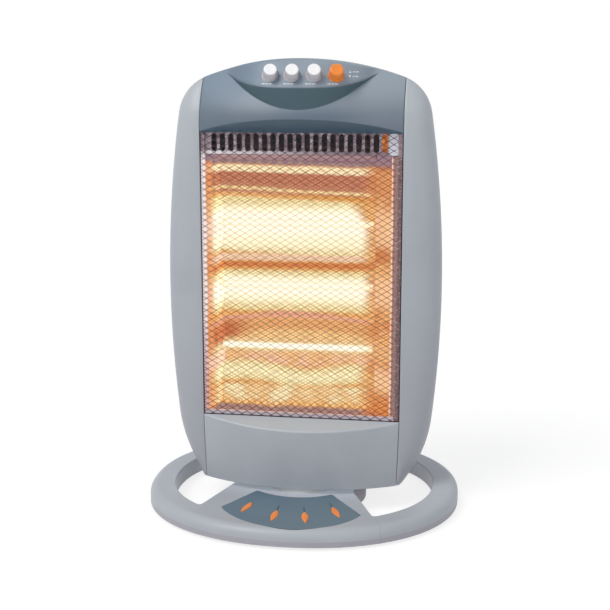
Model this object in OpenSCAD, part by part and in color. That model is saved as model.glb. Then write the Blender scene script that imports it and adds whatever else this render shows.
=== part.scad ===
// Halogen heater on an oval swing base.
// Origin: centre of the base on the floor, on the swing axis. X to the right, front is -Y, Z up.
// Millimetres.

/* [Base] */
// Overall width of the base ring
base_w = 350.4; // [335:0.1:370]
// Overall depth of the base ring
base_d = 323; // [310:1:335]
// Power of the base outline, where 2 is an ellipse and more is squarer
base_power = 2.14; // [2:0.01:2.5]
// Width of the ring band
ring_w = 28.5; // [25:0.5:32]
// Height of the base moulding
base_h = 18.5; // [17.5:0.1:20]
// Radius along the outer top edge of the ring
base_edge_r = 10; // [6:0.5:12]
// Wall of the base moulding
base_wall = 3; // [2.4:0.1:3.4]
// Radius of the hub under the head
hub_r = 71; // [68:0.5:76]
// Half width of the tongue where it leaves the ring
tongue_front_half = 93.5; // [88:0.5:98]
// Half width of the tongue where it meets the hub
tongue_rear_half = 68; // [62:0.5:72]
// Half width of the rear bridge
bridge_half = 38; // [30:1:50]
// Depth of the pocket that holds the panel
panel_pocket = 1.6; // [1.2:0.1:1.8]
// Thickness of the panel
panel_t = 1.5; // [1:0.1:1.7]
// Half width of the panel at its two front corners
panel_half = 75.5; // [70:0.5:78]
// Length of an orange drop
drop_l = 32; // [28:1:34]
// Width of an orange drop
drop_w = 7.4; // [6:0.1:8]

/* [Feet and underside] */
// Height of the rubber feet
foot_h = 3.5; // [3:0.1:5]
// Diameter of a rubber foot
foot_d = 16; // [12:0.5:18]
// Thickness of the cover under the hub
cover_t = 4; // [3.6:0.1:5]
// Diameter of the tip-over plunger
plunger_d = 8; // [6:0.5:10]
// Travel of the tip-over plunger
plunger_travel = 4; // [3:0.1:4.5]
// Diameter of the cord inlet bore
inlet_d = 7; // [6:0.1:8]

/* [Swing drive] */
// Space between the hub and the underside of the head
swing_gap = 7; // [6.8:0.1:8]
// Outer diameter of the hollow pivot post
post_d = 15; // [12:0.5:17]
// Bore of the pivot post
post_bore = 10; // [7:0.5:11]
// Running fit of the head on the post, on the radius
post_fit = 0.05; // [0.03:0.01:0.09]
// Mean radius of the bearing ring
bearing_r = 49.5; // [49:0.1:50.5]
// Width of the bearing ring
bearing_w = 3; // [2:0.1:3.6]
// Distance from the pivot to the crank shaft
crank_offset = 26.5; // [26:0.1:27]
// Radius of the crank pin's path
crank_r = 15.2; // [14.5:0.1:15.4]
// Diameter of the crank pin
pin_d = 5; // [4:0.1:5.5]
// Side clearance of the pin in the slot of the guide
slot_clear = 1.1; // [1:0.1:1.5]
// Diameter of the swing motor
motor_d = 32; // [28:0.5:32]
// Height of the swing motor
motor_h = 18; // [14:1:24]

/* [Head] */
// Height of the top of the head above the floor
head_top = 494.2; // [490:0.1:500]
// Greatest width of the head
head_w = 304.6; // [300:0.1:310]
// Radius of the top of the outline
crown_r = 312.7; // [300:1:340]
// Radius of the upper corners of the outline
corner_r = 47.4; // [44:0.5:52]
// Radius of the long sides of the outline
side_r = 1275; // [1150:5:1500]
// Height at which the head is widest
widest_z = 246.9; // [235:1:260]
// Radius of the lower corners of the outline
heel_r = 140; // [134:1:146]
// Height of the centre of the lower corner arcs
heel_z = 115.6; // [110:0.5:122]
// Wall of the plastic shells
shell_t = 2.5; // [2:0.1:3]
// Depth of the rear shell behind the joint line
rear_depth = 61; // [59:1:75]
// Where the front and rear shells meet
split_y = -3; // [-3.4:0.1:-2]
// Front of the head at the seams beside the window
face_y = -29.5; // [-31:0.1:-29.2]
// How far the cover and fascia bulge forward of the seams
bulge = 25; // [24:0.5:28]
// Half width between the two long seams
seam_x = 110; // [108:0.1:111]
// Bottom of the window
window_bottom = 101.7; // [98:0.1:106]
// Distance from the top of the head down to the window
window_drop = 78; // [76:0.1:80]

/* [Control fascia] */
// How far the fascia leans back over lean_h
lean = 23; // [18:0.5:25]
// Height over which the fascia leans back
lean_h = 48; // [46:0.5:54]
// Distance from the top of the head down to the front edge of the button platform
platform_drop = 30.7; // [28.5:0.1:33]
// Front of the button platform at its middle
platform_y = -53; // [-55:0.1:-51]
// Tilt of the platform and of the button axes above level
button_tilt = 32; // [28:0.5:36]
// Lean of the button axes to the right
button_lean = 10; // [6:0.5:12]
// Half length of the platform
platform_half = 78; // [74:0.5:82]
// Distance from the top of the head down to the lowest point of the dark crescent
crescent_drop = 53.2; // [48.2:0.5:56.2]
// Distance between two buttons
button_pitch = 23.1; // [21:0.1:25]
// Middle of the row of buttons, sideways
button_row_x = 5.2; // [3:0.1:8]
// Distance from the top of the head down to where the button axes leave the platform
button_drop = 17.6; // [16.2:0.1:19.2]
// Diameter of a button
button_d = 14.4; // [12:0.1:15]
// How far a button stands out of the platform
button_out = 12; // [10:0.1:14]
// Travel of a button
button_travel = 4; // [3:0.1:4.5]

/* [Lamp chamber] */
// Distance between two lamps, as a share of the height of the window
lamp_share = 0.2226; // [0.2162:0.0001:0.229]
// Height of the middle lamp in the window, as a share of the height of the window
lamp_middle = 0.4556; // [0.44:0.0001:0.4715]
// Depth of the lamp axes
lamp_y = 6; // [4:0.5:8]
// Diameter of a quartz tube
tube_d = 11; // [10:0.1:12]
// Wall of a quartz tube
tube_wall = 1; // [0.8:0.1:1.4]
// Diameter of the ceramic lamp ends
cap_d = 14; // [13.4:0.1:15]
// Length of the ceramic lamp ends
cap_l = 20; // [16:1:24]
// Depth of a reflector trough
trough_depth = 22; // [18:0.5:24]
// Front of the ridges between the troughs
ridge_y = 8; // [7.5:0.1:10]
// Thickness of the reflector sheet
sheet_t = 0.8; // [0.6:0.1:1.2]
// Left end of the lamp chamber
chamber_left = -97; // [-99:0.5:-94]
// Right end of the lamp chamber
chamber_right = 80; // [77:0.5:84]
// Distance from the top of the window down to the lower edge of the slotted plate
slot_plate_drop = 23.4; // [22.2:0.1:24.7]
// Number of slots in the plate
slot_count = 21; // [15:1:21]
// Distance between two slots
slot_pitch = 9.26; // [9:0.01:9.5]
// Width of a slot
slot_w = 6; // [5:0.1:6.6]

/* [Guard] */
// Width of the bright rim round the window
rim_w = 4.6; // [3.6:0.1:5.5]
// Depth of the bright rim
rim_depth = 3.2; // [2.4:0.1:3.4]
// Thickness of the guard mesh
mesh_t = 1; // [0.8:0.1:1.2]
// Strand of the guard mesh
strand = 1.4; // [1:0.1:2]
// Openings of the mesh across the window
mesh_columns = 7; // [6:1:8]
// Openings of the mesh up the window
mesh_rows = 15; // [13:1:17]

/* [Hidden] */

light_grey = [0.66, 0.69, 0.72];
fascia_grey = [0.47, 0.53, 0.58];
panel_grey = [0.36, 0.46, 0.52];
steel = [0.75, 0.75, 0.77];
orange = [0.96, 0.55, 0.16];
white = [0.94, 0.94, 0.95];
ceramic = [0.9, 0.88, 0.82];
black = [0.12, 0.12, 0.13];

$fn = 48;
fit = 0.3;
snug = 0.05;
over = 1;

base_top = foot_h + base_h;
head_z = base_top + swing_gap;
base_roof = base_top - base_wall;
inner_w = base_w / 2 - ring_w;
inner_d = base_d / 2 - ring_w;
ring_mid_w = base_w / 2 - ring_w / 2;
ring_mid_d = base_d / 2 - ring_w / 2;
outline_n = 72;

window_top = head_top - window_drop;
window_h = window_top - window_bottom;
platform_z = head_top - platform_drop;
crescent_z = head_top - crescent_drop;
button_z = head_top - button_drop;
slot_plate_z = window_top - slot_plate_drop;
lamp_pitch = lamp_share * window_h;
lamp_z = window_bottom + lamp_middle * window_h;

// ---------------------------------------------------------------- shared shapes

function between(a, b, t) = a + (b - a) * t;

function arc(cx, cy, r, a0, a1, n) =
    [for (i = [0:n]) let (a = between(a0, a1, i / n)) [cx + r * cos(a), cy + r * sin(a)]];

function rounded(v) = sign(v) * pow(abs(v), 2 / base_power);

// Base outline, drawn in by an inset
function oval(half_w, half_d) =
    [for (i = [0:outline_n - 1]) let (a = 360 * i / outline_n)
        [half_w * rounded(cos(a)), half_d * rounded(sin(a))]];

// Solid through a chain of closed rings, right-handed about the way the outside runs
module skin(rings) {
    n = len(rings[0]);
    last = len(rings) - 1;
    sides = [for (i = [0:last - 1], j = [0:n - 1], half = [0, 1])
        let (k = (j + 1) % n, a = i * n + j, b = i * n + k, c = a + n, d = b + n)
            half == 0 ? [a, c, d] : [a, d, b]];
    caps = [[for (j = [0:n - 1]) j], [for (j = [n - 1:-1:0]) last * n + j]];
    polyhedron([for (r = rings, p = r) p], concat(sides, caps));
}

// Plate between two grids of points, rows upward and columns to the right seen from the front
module slab(front, back) {
    m = len(front);
    n = len(front[0]);
    b = m * n;
    faces = concat(
        [for (i = [0:m - 2], j = [0:n - 2]) let (p = i * n + j) [p, p + n, p + n + 1]],
        [for (i = [0:m - 2], j = [0:n - 2]) let (p = i * n + j) [p, p + n + 1, p + 1]],
        [for (i = [0:m - 2], j = [0:n - 2]) let (p = b + i * n + j) [p, p + n + 1, p + n]],
        [for (i = [0:m - 2], j = [0:n - 2]) let (p = b + i * n + j) [p, p + 1, p + n + 1]],
        [for (j = [0:n - 2]) [j, j + 1, b + j + 1]],
        [for (j = [0:n - 2]) [j, b + j + 1, b + j]],
        [for (j = [0:n - 2]) let (p = b - n + j) [p + 1, p, b + p]],
        [for (j = [0:n - 2]) let (p = b - n + j) [p + 1, b + p, b + p + 1]],
        [for (i = [0:m - 2]) let (p = i * n) [p + n, p, b + p]],
        [for (i = [0:m - 2]) let (p = i * n) [p + n, b + p, b + p + n]],
        [for (i = [0:m - 2]) let (p = i * n + n - 1) [p, p + n, b + p + n]],
        [for (i = [0:m - 2]) let (p = i * n + n - 1) [p, b + p + n, b + p]]);
    polyhedron(concat([for (r = front, p = r) p], [for (r = back, p = r) p]), faces);
}

module tube(outer_r, inner_r, h) {
    difference() {
        cylinder(r = outer_r, h = h);
        translate([0, 0, -over]) cylinder(r = inner_r, h = h + 2 * over);
    }
}

// Cylinder along +X or along +Y
module rod_x(r, l) {
    rotate([0, 90, 0]) cylinder(r = r, h = l);
}

module rod_y(r, l) {
    rotate([-90, 0, 0]) cylinder(r = r, h = l);
}

// ---------------------------------------------------------------- base

// In the photograph the tongue and the panel sit a little askew on the ring
panel_lean = 0.0945;
panel_shift = -8;
tongue_lean = 0.054;
tongue_shift = -10.7;
tongue_front_y = 56.5 - base_d / 2;
tongue_rear_y = -31;
bridge_front_y = 20;

function askew(points, k, shift) = [for (p = points) [p[0] + shift - k * p[1], p[1]]];

function tongue_half(y) =
    let (t = (y - tongue_front_y) / (tongue_rear_y - tongue_front_y))
    between(tongue_front_half, tongue_rear_half, t);

module tongue_plan(inset) {
    far_y = -ring_mid_d;
    near_y = 0;
    slant = inset * 1.06;
    polygon(askew([
        [-tongue_half(far_y) + slant, far_y], [tongue_half(far_y) - slant, far_y],
        [tongue_half(near_y) - slant, near_y], [-tongue_half(near_y) + slant, near_y]],
        tongue_lean, tongue_shift));
}

module base_outside(inset) {
    polygon(oval(base_w / 2 - inset, base_d / 2 - inset));
}

// Plan of the moulding drawn in by a wall, and further in at the outside by a shoulder
module base_plan(inset, shoulder) {
    difference() {
        base_outside(inset + shoulder);
        polygon(oval(inner_w + inset, inner_d + inset));
    }
    circle(r = hub_r - inset);
    intersection() {
        base_outside(inset + shoulder);
        tongue_plan(inset);
    }
    translate([-bridge_half + inset, bridge_front_y])
        square([2 * (bridge_half - inset), ring_mid_d - bridge_front_y]);
}

// Panel outline: front arc, then the arc concentric with the hub, grown by g
panel_front_y = 5.5 - base_d / 2;
panel_side_y = panel_front_y + 49.5;
panel_rear_r = 65.4;
panel_rear_angle = 39.75;
panel_sagitta = panel_side_y - panel_front_y;
panel_front_r = (panel_half * panel_half + panel_sagitta * panel_sagitta) / (2 * panel_sagitta);
panel_front_angle = asin(panel_half / panel_front_r);

function panel_outline(g) =
    let (turn_f = 57.3 * g / panel_front_r, turn_r = 57.3 * g / panel_rear_r)
    askew(concat(
        arc(0, panel_front_y + panel_front_r, panel_front_r + g,
            270 - panel_front_angle - turn_f, 270 + panel_front_angle + turn_f, 24),
        arc(0, 0, panel_rear_r - g,
            270 + panel_rear_angle + turn_r, 270 - panel_rear_angle - turn_r, 12)),
        panel_lean, panel_shift);

// Middles of the four drops behind the front of the panel; they point at a spot far behind them
drop_places = [[-48.5, 52], [-16.5, 32.5], [16.5, 32.5], [48.5, 52]];
drop_middles = [for (d = drop_places) [d[0], panel_front_y + d[1]]];

drop_target = 165;
drop_power = 1.25;

// Leaf outline with its middle at the origin, widest nearer to the hub, grown by g
module drop_plan(g) {
    n = 14;
    right = [for (i = [0:n]) let (t = i / n)
        [(drop_w / 2 + g) * pow(sin(180 * pow(t, drop_power)), 0.8), (t - 0.5) * (drop_l + 2 * g)]];
    left = [for (i = [n - 1:-1:1]) [-right[i][0], right[i][1]]];
    polygon(concat([[0, right[0][1]]], [for (i = [1:n - 1]) right[i]], [[0, right[n][1]]], left));
}

module each_drop() {
    for (m = drop_middles) {
        toward = atan(m[0] / drop_target) + atan(panel_lean);
        x = m[0] + panel_shift - panel_lean * m[1];
        translate([x, m[1]]) rotate(toward) children();
    }
}

foot_angles = [38, 142, 218, 322];
foot_boss_r = 6;
foot_stem_r = 2.5;
foot_stem_l = 6;
cover_boss_r = 5;
cover_screw_l = 6;

module each_foot() {
    for (a = foot_angles)
        translate([ring_mid_w * rounded(cos(a)), ring_mid_d * rounded(sin(a)), 0]) children();
}

cover_screw_r = 54;
cover_screw_angles = [30, 150, 210, 330];
cover_r = hub_r - base_wall - fit;
screw_r = 1.5;
screw_head_r = 3.2;
screw_head_h = 2;

module each_cover_screw() {
    for (a = cover_screw_angles)
        rotate(a) translate([cover_screw_r, 0, 0]) children();
}

inlet_z = foot_h + 6.4;
inlet_wall = 2;
inlet_r = inlet_d / 2 + inlet_wall;
post_flange_r = 17;
post_flange_h = 3;

// How far the rounded outer edge has drawn in at the height of the roof
edge_shoulder = base_edge_r - sqrt(pow(base_edge_r, 2) - pow(base_edge_r - base_wall, 2));

function base_ring(inset, z) =
    [for (p = oval(base_w / 2 - inset, base_d / 2 - inset)) [p[0], p[1], z]];

module base_moulding() {
    edge_steps = 5;
    edge_foot = base_top - base_edge_r;
    dome = concat([[0, foot_h]],
        [for (i = [0:edge_steps]) let (a = 90 * i / edge_steps)
            [base_edge_r * (1 - cos(a)), edge_foot + base_edge_r * sin(a)]]);
    color(light_grey) {
        difference() {
            intersection() {
                skin([for (d = dome) base_ring(d[0], d[1])]);
                linear_extrude(base_top + over) base_plan(0, 0);
            }
            translate([0, 0, -over]) linear_extrude(edge_foot + over) base_plan(base_wall, 0);
            linear_extrude(base_roof) base_plan(base_wall, edge_shoulder);
            translate([0, 0, base_top - panel_pocket])
                linear_extrude(panel_pocket + over) polygon(panel_outline(fit));
            cylinder(r = post_d / 2 + snug, h = base_top + over);
            translate([0, ring_mid_d, inlet_z]) rod_y(inlet_r + snug, ring_w);
        }
        each_foot() difference() {
            translate([0, 0, foot_h]) cylinder(r = foot_boss_r, h = base_roof - foot_h + base_wall / 2);
            cylinder(r = foot_stem_r + snug, h = foot_h + foot_stem_l + fit);
        }
        each_cover_screw() difference() {
            translate([0, 0, foot_h + cover_t])
                cylinder(r = cover_boss_r, h = base_roof - foot_h - cover_t + base_wall / 2);
            cylinder(r = screw_r + snug, h = foot_h + cover_t + cover_screw_l + over);
        }
    }
}

module base_panel() {
    color(panel_grey) difference() {
        translate([0, 0, base_top - panel_pocket]) linear_extrude(panel_t) polygon(panel_outline(0));
        translate([0, 0, base_top - panel_pocket + panel_t - drop_sink]) linear_extrude(over * 2)
            each_drop() drop_plan(snug);
    }
}

drop_sink = 0.7;
drop_t = 1.6;

module panel_drops() {
    color(orange) translate([0, 0, base_top - panel_pocket + panel_t - drop_sink])
        linear_extrude(drop_t) each_drop() drop_plan(0);
}

module base_cover() {
    color(black) difference() {
        translate([0, 0, foot_h]) cylinder(r = cover_r, h = cover_t);
        each_cover_screw() {
            cylinder(r = screw_r + fit, h = foot_h + cover_t + over);
            cylinder(r = screw_head_r + fit, h = foot_h + screw_head_h);
        }
        plunger_at() cylinder(r = plunger_d / 2 + fit, h = foot_h + cover_t + over);
    }
}

module base_feet() {
    color(black) each_foot() {
        cylinder(r = foot_d / 2, h = foot_h);
        cylinder(r = foot_stem_r, h = foot_h + foot_stem_l);
    }
}

module base_screws() {
    color(steel) each_cover_screw() {
        translate([0, 0, foot_h]) cylinder(r = screw_head_r, h = screw_head_h);
        translate([0, 0, foot_h]) cylinder(r = screw_r, h = cover_t + cover_screw_l);
    }
}

module cord_inlet() {
    flange_t = 3;
    back = base_wall + edge_shoulder + flange_t;
    color(black) translate([0, base_d / 2, inlet_z]) difference() {
        union() {
            translate([0, -back, 0]) rod_y(inlet_r, back - fit);
            translate([0, -back, 0]) rod_y(inlet_r + 0.8, flange_t - fit);
        }
        translate([0, -back - over, 0]) rod_y(inlet_d / 2, back + 2 * over);
    }
}

// ---------------------------------------------------------------- tip-over switch

plunger_xy = [-34, 12];
plunger_flange_r = 6.5;
plunger_flange_h = 2;
plunger_pin_r = 2;
plunger_flange_z = foot_h + cover_t + plunger_travel + fit;
switch_z = plunger_flange_z + plunger_flange_h + fit;
switch_size = [20, 14, base_roof - switch_z];
switch_bore_h = switch_size[2] - over;

module plunger_at() {
    translate([plunger_xy[0], plunger_xy[1], 0]) children();
}

module tip_switch() {
    color(black) plunger_at() difference() {
        translate([-switch_size[0] / 2, -switch_size[1] / 2, switch_z]) cube(switch_size);
        translate([0, 0, switch_z - over]) cylinder(r = plunger_pin_r + fit, h = switch_bore_h + over);
    }
}

module tip_plunger() {
    color(white) plunger_at() {
        translate([0, 0, fit]) cylinder(r = plunger_d / 2, h = plunger_flange_z + 0.5 - fit);
        translate([0, 0, plunger_flange_z]) cylinder(r = plunger_flange_r, h = plunger_flange_h);
        translate([0, 0, plunger_flange_z])
            cylinder(r = plunger_pin_r, h = plunger_flange_h + switch_bore_h - fit);
    }
}

// ---------------------------------------------------------------- swing drive

boss_h = 11;
boss_r = post_d / 2 + 5.5;
washer_t = 1.5;
nut_t = 6;
floor_t = 2.5;
boss_top = head_z + boss_h;
floor_half = 100;
floor_back = 46;
guide_t = 2;
guide_r = bearing_r - bearing_w / 2 - fit;
arm_z = base_top + guide_t + 0.6;
arm_t = 2.6;
shaft_d = 5;
crank_hub_r = 5.5;
crank_neck_r = 3.8;
crank_neck_h = head_z - arm_z + 1;
motor_y = boss_r + 1 + motor_d / 2;
motor_z = head_z + floor_t;
motor_ear = 24;
ear_w = 8;
ear_t = 1.5;

module pivot_post() {
    top = boss_top + fit + washer_t + nut_t + 2;
    bottom = base_roof - post_flange_h;
    color(steel) difference() {
        union() {
            translate([0, 0, bottom]) cylinder(r = post_flange_r, h = post_flange_h);
            translate([0, 0, bottom]) cylinder(r = post_d / 2, h = top - bottom);
        }
        translate([0, 0, bottom - over]) cylinder(r = post_bore / 2, h = top - bottom + 2 * over);
    }
}

module post_washer() {
    color(steel) translate([0, 0, boss_top + fit]) tube(boss_r, post_d / 2 + snug, washer_t);
}

module post_nut() {
    color(steel) translate([0, 0, boss_top + fit + washer_t]) difference() {
        cylinder(r = boss_r - 0.6, h = nut_t, $fn = 6);
        translate([0, 0, -over]) cylinder(r = post_d / 2 + snug, h = nut_t + 2 * over);
    }
}

module bearing_ring() {
    color(white) translate([0, 0, base_top])
        tube(bearing_r + bearing_w / 2, bearing_r - bearing_w / 2, swing_gap - fit);
}

module swing_guide() {
    slot_r = pin_d / 2 + slot_clear;
    near = crank_offset + crank_r * cos(98) - fit;
    far = crank_offset + crank_r + fit - slot_clear;
    color(steel) translate([0, 0, base_top]) difference() {
        cylinder(r = guide_r, h = guide_t);
        translate([0, 0, -over]) cylinder(r = post_d / 2 + fit, h = guide_t + 2 * over);
        for (y = [near, far])
            translate([0, y, -over]) cylinder(r = slot_r, h = guide_t + 2 * over);
        translate([-slot_r, near, -over]) cube([2 * slot_r, far - near, guide_t + 2 * over]);
    }
}

module swing_crank() {
    pin_bottom = base_top + fit;
    pin_l = arm_z + arm_t - pin_bottom;
    color(steel) difference() {
        union() {
            translate([0, crank_offset, arm_z]) cylinder(r = crank_hub_r, h = arm_t);
            translate([0, crank_offset, arm_z]) cylinder(r = crank_neck_r, h = crank_neck_h);
            translate([-pin_d / 2, crank_offset, arm_z]) cube([pin_d, crank_r, arm_t]);
            translate([0, crank_offset + crank_r, pin_bottom]) cylinder(r = pin_d / 2, h = pin_l);
        }
        translate([0, crank_offset, arm_z - over])
            cylinder(r = shaft_d / 2 + snug, h = crank_neck_h + 2 * over);
    }
}

module each_motor_screw() {
    for (side = [-1, 1])
        translate([side * (motor_ear - ear_w / 2), motor_y, motor_z]) children();
}

module swing_motor() {
    color(steel) {
        difference() {
            union() {
                translate([0, motor_y, motor_z]) cylinder(r = motor_d / 2, h = motor_h);
                translate([-motor_ear, motor_y - ear_w / 2, motor_z]) cube([2 * motor_ear, ear_w, ear_t]);
            }
            each_motor_screw() translate([0, 0, -over]) cylinder(r = screw_r + snug, h = ear_t + 2 * over);
        }
        translate([0, crank_offset, arm_z + 0.2]) cylinder(r = shaft_d / 2, h = motor_z - arm_z);
    }
}

module motor_screws() {
    color(steel) each_motor_screw() {
        translate([0, 0, ear_t]) cylinder(r = screw_head_r, h = screw_head_h);
        translate([0, 0, -floor_t]) cylinder(r = screw_r, h = floor_t + ear_t + screw_head_h / 2);
    }
}

module head_floor() {
    front = split_y - fit - 1;
    through = floor_t + 2 * over;
    color(light_grey) difference() {
        union() {
            translate([-floor_half, front, head_z]) cube([2 * floor_half, floor_back - front, floor_t]);
            translate([0, 0, head_z]) cylinder(r = boss_r, h = boss_h);
        }
        translate([0, 0, head_z - over]) cylinder(r = post_d / 2 + post_fit, h = boss_h + 2 * over);
        translate([0, crank_offset, head_z - over]) cylinder(r = crank_neck_r + 0.5, h = through);
        each_motor_screw() translate([0, 0, -floor_t - over]) cylinder(r = screw_r + snug, h = through);
    }
}

module terminal_block() {
    posts = 4;
    pitch = 10;
    deep = 18;
    h = 13;
    color(white) translate([24 - floor_half, 8, head_z + floor_t]) difference() {
        cube([posts * pitch, deep, h]);
        for (i = [0:posts - 1])
            translate([pitch * (i + 0.5), deep / 2, 3]) cylinder(r = 2.6, h = h);
    }
}

// ---------------------------------------------------------------- head outline

crown_z = head_top - crown_r;
side_x = head_w / 2 - side_r;
heel_x = side_x + sqrt(pow(side_r - heel_r, 2) - pow(heel_z - widest_z, 2));

// Centre of the upper corner arc, which touches the side arc and the crown arc from inside
corner_gap = norm([side_x, crown_z - widest_z]);
from_side = side_r - corner_r;
from_crown = crown_r - corner_r;
corner_along = (pow(from_side, 2) - pow(from_crown, 2) + pow(corner_gap, 2)) / (2 * corner_gap);
corner_up = sqrt(pow(from_side, 2) - pow(corner_along, 2));
corner_way = [-side_x, crown_z - widest_z] / corner_gap;
corner_x = side_x + corner_along * corner_way[0] - corner_up * corner_way[1];
corner_z = widest_z + corner_along * corner_way[1] + corner_up * corner_way[0];

heel_start = asin((head_z - heel_z) / heel_r);
heel_end = atan2(heel_z - widest_z, heel_x - side_x);
side_end = atan2(corner_z - widest_z, corner_x - side_x);
corner_end = atan2(corner_z - crown_z, corner_x);

function tail(points) = [for (i = [1:len(points) - 1]) points[i]];

lower_flank = concat(arc(heel_x, heel_z, heel_r, heel_start, heel_end, 6),
    tail(arc(side_x, widest_z, side_r, heel_end, side_end, 7)));

right_flank = concat(lower_flank, tail(arc(corner_x, corner_z, corner_r, side_end, corner_end, 6)),
    tail(arc(0, crown_z, crown_r, corner_end, 90, 5)));

// Closed outline, right-handed about +Y
head_loop = let (last = len(right_flank) - 1) concat(
    [for (i = [last:-1:0]) right_flank[i]],
    [for (i = [0:last - 1]) [-right_flank[i][0], right_flank[i][1]]]);

function outline_top(x) = abs(x) < crown_r * cos(corner_end)
    ? crown_z + sqrt(crown_r * crown_r - x * x)
    : corner_z + sqrt(corner_r * corner_r - pow(abs(x) - corner_x, 2));

// ---------------------------------------------------------------- front surfaces

lean_z = head_top - 69.2;
lean_power = 1.6;
bulge_half = seam_x + 1;
seam_draw = 2.3;
front_edge = split_y - fit;

function lean_back(z) = z < lean_z ? 0 : lean * pow((z - lean_z) / lean_h, lean_power);

function bulge_at(x) = 1 - pow(x / bulge_half, 2);

function front_y(x, z) = face_y + lean_back(z) - bulge * bulge_at(x);

// The seams draw in a little below the window
function seam_at(z) = seam_x - seam_draw * max(0, window_bottom - z) / (window_bottom - head_z);

// ---------------------------------------------------------------- head shells

rear_taper = 0.26;
rear_drop = 0.07;
rear_still_z = 60;
rear_steps = 6;
rear_y = split_y + rear_depth;

// Ring of the rear shell at angle a from the joint line, drawn in by a wall t
function rear_ring(a, t) =
    let (k = 1 - cos(a))
    let (wide = (1 - rear_taper * k) * (1 - 2 * t / head_w), tall = 1 - 2 * t / (head_top - head_z))
    [for (p = head_loop)
        let (z = rear_still_z + (p[1] - rear_still_z) * (1 - rear_drop * k))
        [p[0] * wide, split_y + (rear_depth - t) * sin(a), head_z + t + (z - head_z) * tall]];

cup_half = 58;
cup_z = window_top - 14.2;
cup_h = 36;
cup_depth = 26;
cup_wall = 2;
cup_lip = 3;
cup_lip_t = 1.5;
vent_l = 62;
vent_h = 5;
vent_rows = 15;
vent_z = window_bottom + 38.3;
vent_pitch = (cup_z - 52 - vent_z) / (vent_rows - 1);
vent_x = 46;
shell_screw_spots = [for (side = [-1, 1], p = [[92, window_bottom + 18.3], [92, lamp_z], [88, cup_z - 17]])
    [side * p[0], p[1]]];
shell_screw_head_r = screw_head_r + 0.8;
screw_boss_r = 6;
screw_boss_l = 12;
screw_boss_y = -shell_t - screw_boss_l;

module each_shell_screw() {
    for (p = shell_screw_spots)
        translate([p[0], rear_y, p[1]]) children();
}

module vent(l, h) {
    for (side = [-1, 1])
        translate([side * (l - h) / 2, 0, 0]) rod_y(h / 2, shell_t + 2 * over);
    translate([-(l - h) / 2, 0, -h / 2]) cube([l - h, shell_t + 2 * over, h]);
}

module rear_shell() {
    steps = [for (i = [0:rear_steps]) 90 * i / rear_steps];
    inside = [for (i = [rear_steps:-1:0]) rear_ring(steps[i], shell_t)];
    outside = [for (a = steps) rear_ring(a, 0)];
    color(light_grey) difference() {
        union() {
            skin(concat(inside, outside));
            each_shell_screw() translate([0, screw_boss_y, 0]) rod_y(screw_boss_r, screw_boss_l + shell_t / 2);
        }
        translate([-floor_half - fit, split_y - over, head_z - over])
            cube([2 * (floor_half + fit), floor_back + fit - split_y + over, shell_t + 4 * over]);
        translate([-cup_half - fit, rear_y - shell_t - over, cup_z - fit])
            cube([2 * (cup_half + fit), shell_t + 2 * over, cup_h + 2 * fit]);
        for (i = [0:vent_rows - 1], side = [-1, 1])
            translate([side * vent_x, rear_y - shell_t - over, vent_z + i * vent_pitch]) vent(vent_l, vent_h);
        each_shell_screw() {
            translate([0, -screw_head_h - fit, 0]) rod_y(shell_screw_head_r + fit, screw_head_h + fit + over);
            translate([0, screw_boss_y - over, 0]) rod_y(screw_r + snug, screw_boss_l + shell_t + over);
        }
    }
}

module shell_screws() {
    color(steel) each_shell_screw() {
        translate([0, -screw_head_h - fit, 0]) rod_y(shell_screw_head_r, screw_head_h);
        translate([0, screw_boss_y + 1, 0]) rod_y(screw_r, screw_boss_l);
    }
}

// Box centred on X that stands on a height and starts at a depth
module centred_box(half, y, z, deep, h) {
    translate([-half, y, z]) cube([2 * half, deep, h]);
}

module handle_cup() {
    floor_y = rear_y - cup_depth;
    color(fascia_grey) difference() {
        union() {
            centred_box(cup_half, floor_y, cup_z, cup_depth + cup_lip_t / 2, cup_h);
            centred_box(cup_half + cup_lip, rear_y, cup_z - cup_lip, cup_lip_t, cup_h + 2 * cup_lip);
        }
        centred_box(cup_half - cup_wall, floor_y + cup_wall, cup_z + cup_wall, cup_depth + over,
            cup_h - 2 * cup_wall);
    }
}

wing_tip_w = 1.5;
wing_steps = 7;

module wing() {
    tip_angle = acos((seam_x + fit + wing_tip_w - corner_x) / corner_r);
    flank = concat(lower_flank, tail(arc(corner_x, corner_z, corner_r, side_end, tip_angle, 7)));
    outer = [for (p = flank) [for (j = [0:wing_steps]) wing_point(p, 90 * j / wing_steps, 0)]];
    inner = [for (p = flank) [for (j = [0:wing_steps]) wing_point(p, 90 * j / wing_steps, shell_t)]];
    slab(outer, inner);
}

function wing_point(p, a, t) =
    let (seam = seam_at(p[1]) + fit, wide = p[0] - seam, deep = front_edge - front_y(seam_x, p[1]))
    [seam + max(wide - t, wide * 0.3) * sin(a), front_edge - (deep - t) * cos(a), p[1]];

module right_wing() {
    color(light_grey) wing();
}

module left_wing() {
    color(light_grey) mirror([1, 0, 0]) wing();
}

// The ledge under the window drops towards its front edge by ledge_drop at the middle
ledge_drop = 8;
lip_y = face_y + 0.5;
front_columns = 24;
skirt_t = 1.8;
skirt_share = 0.55;

// Foot of the skirt that hides most of the gap over the base
function skirt_z(x) = head_z - skirt_share * swing_gap * sqrt(bulge_at(x));

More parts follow.
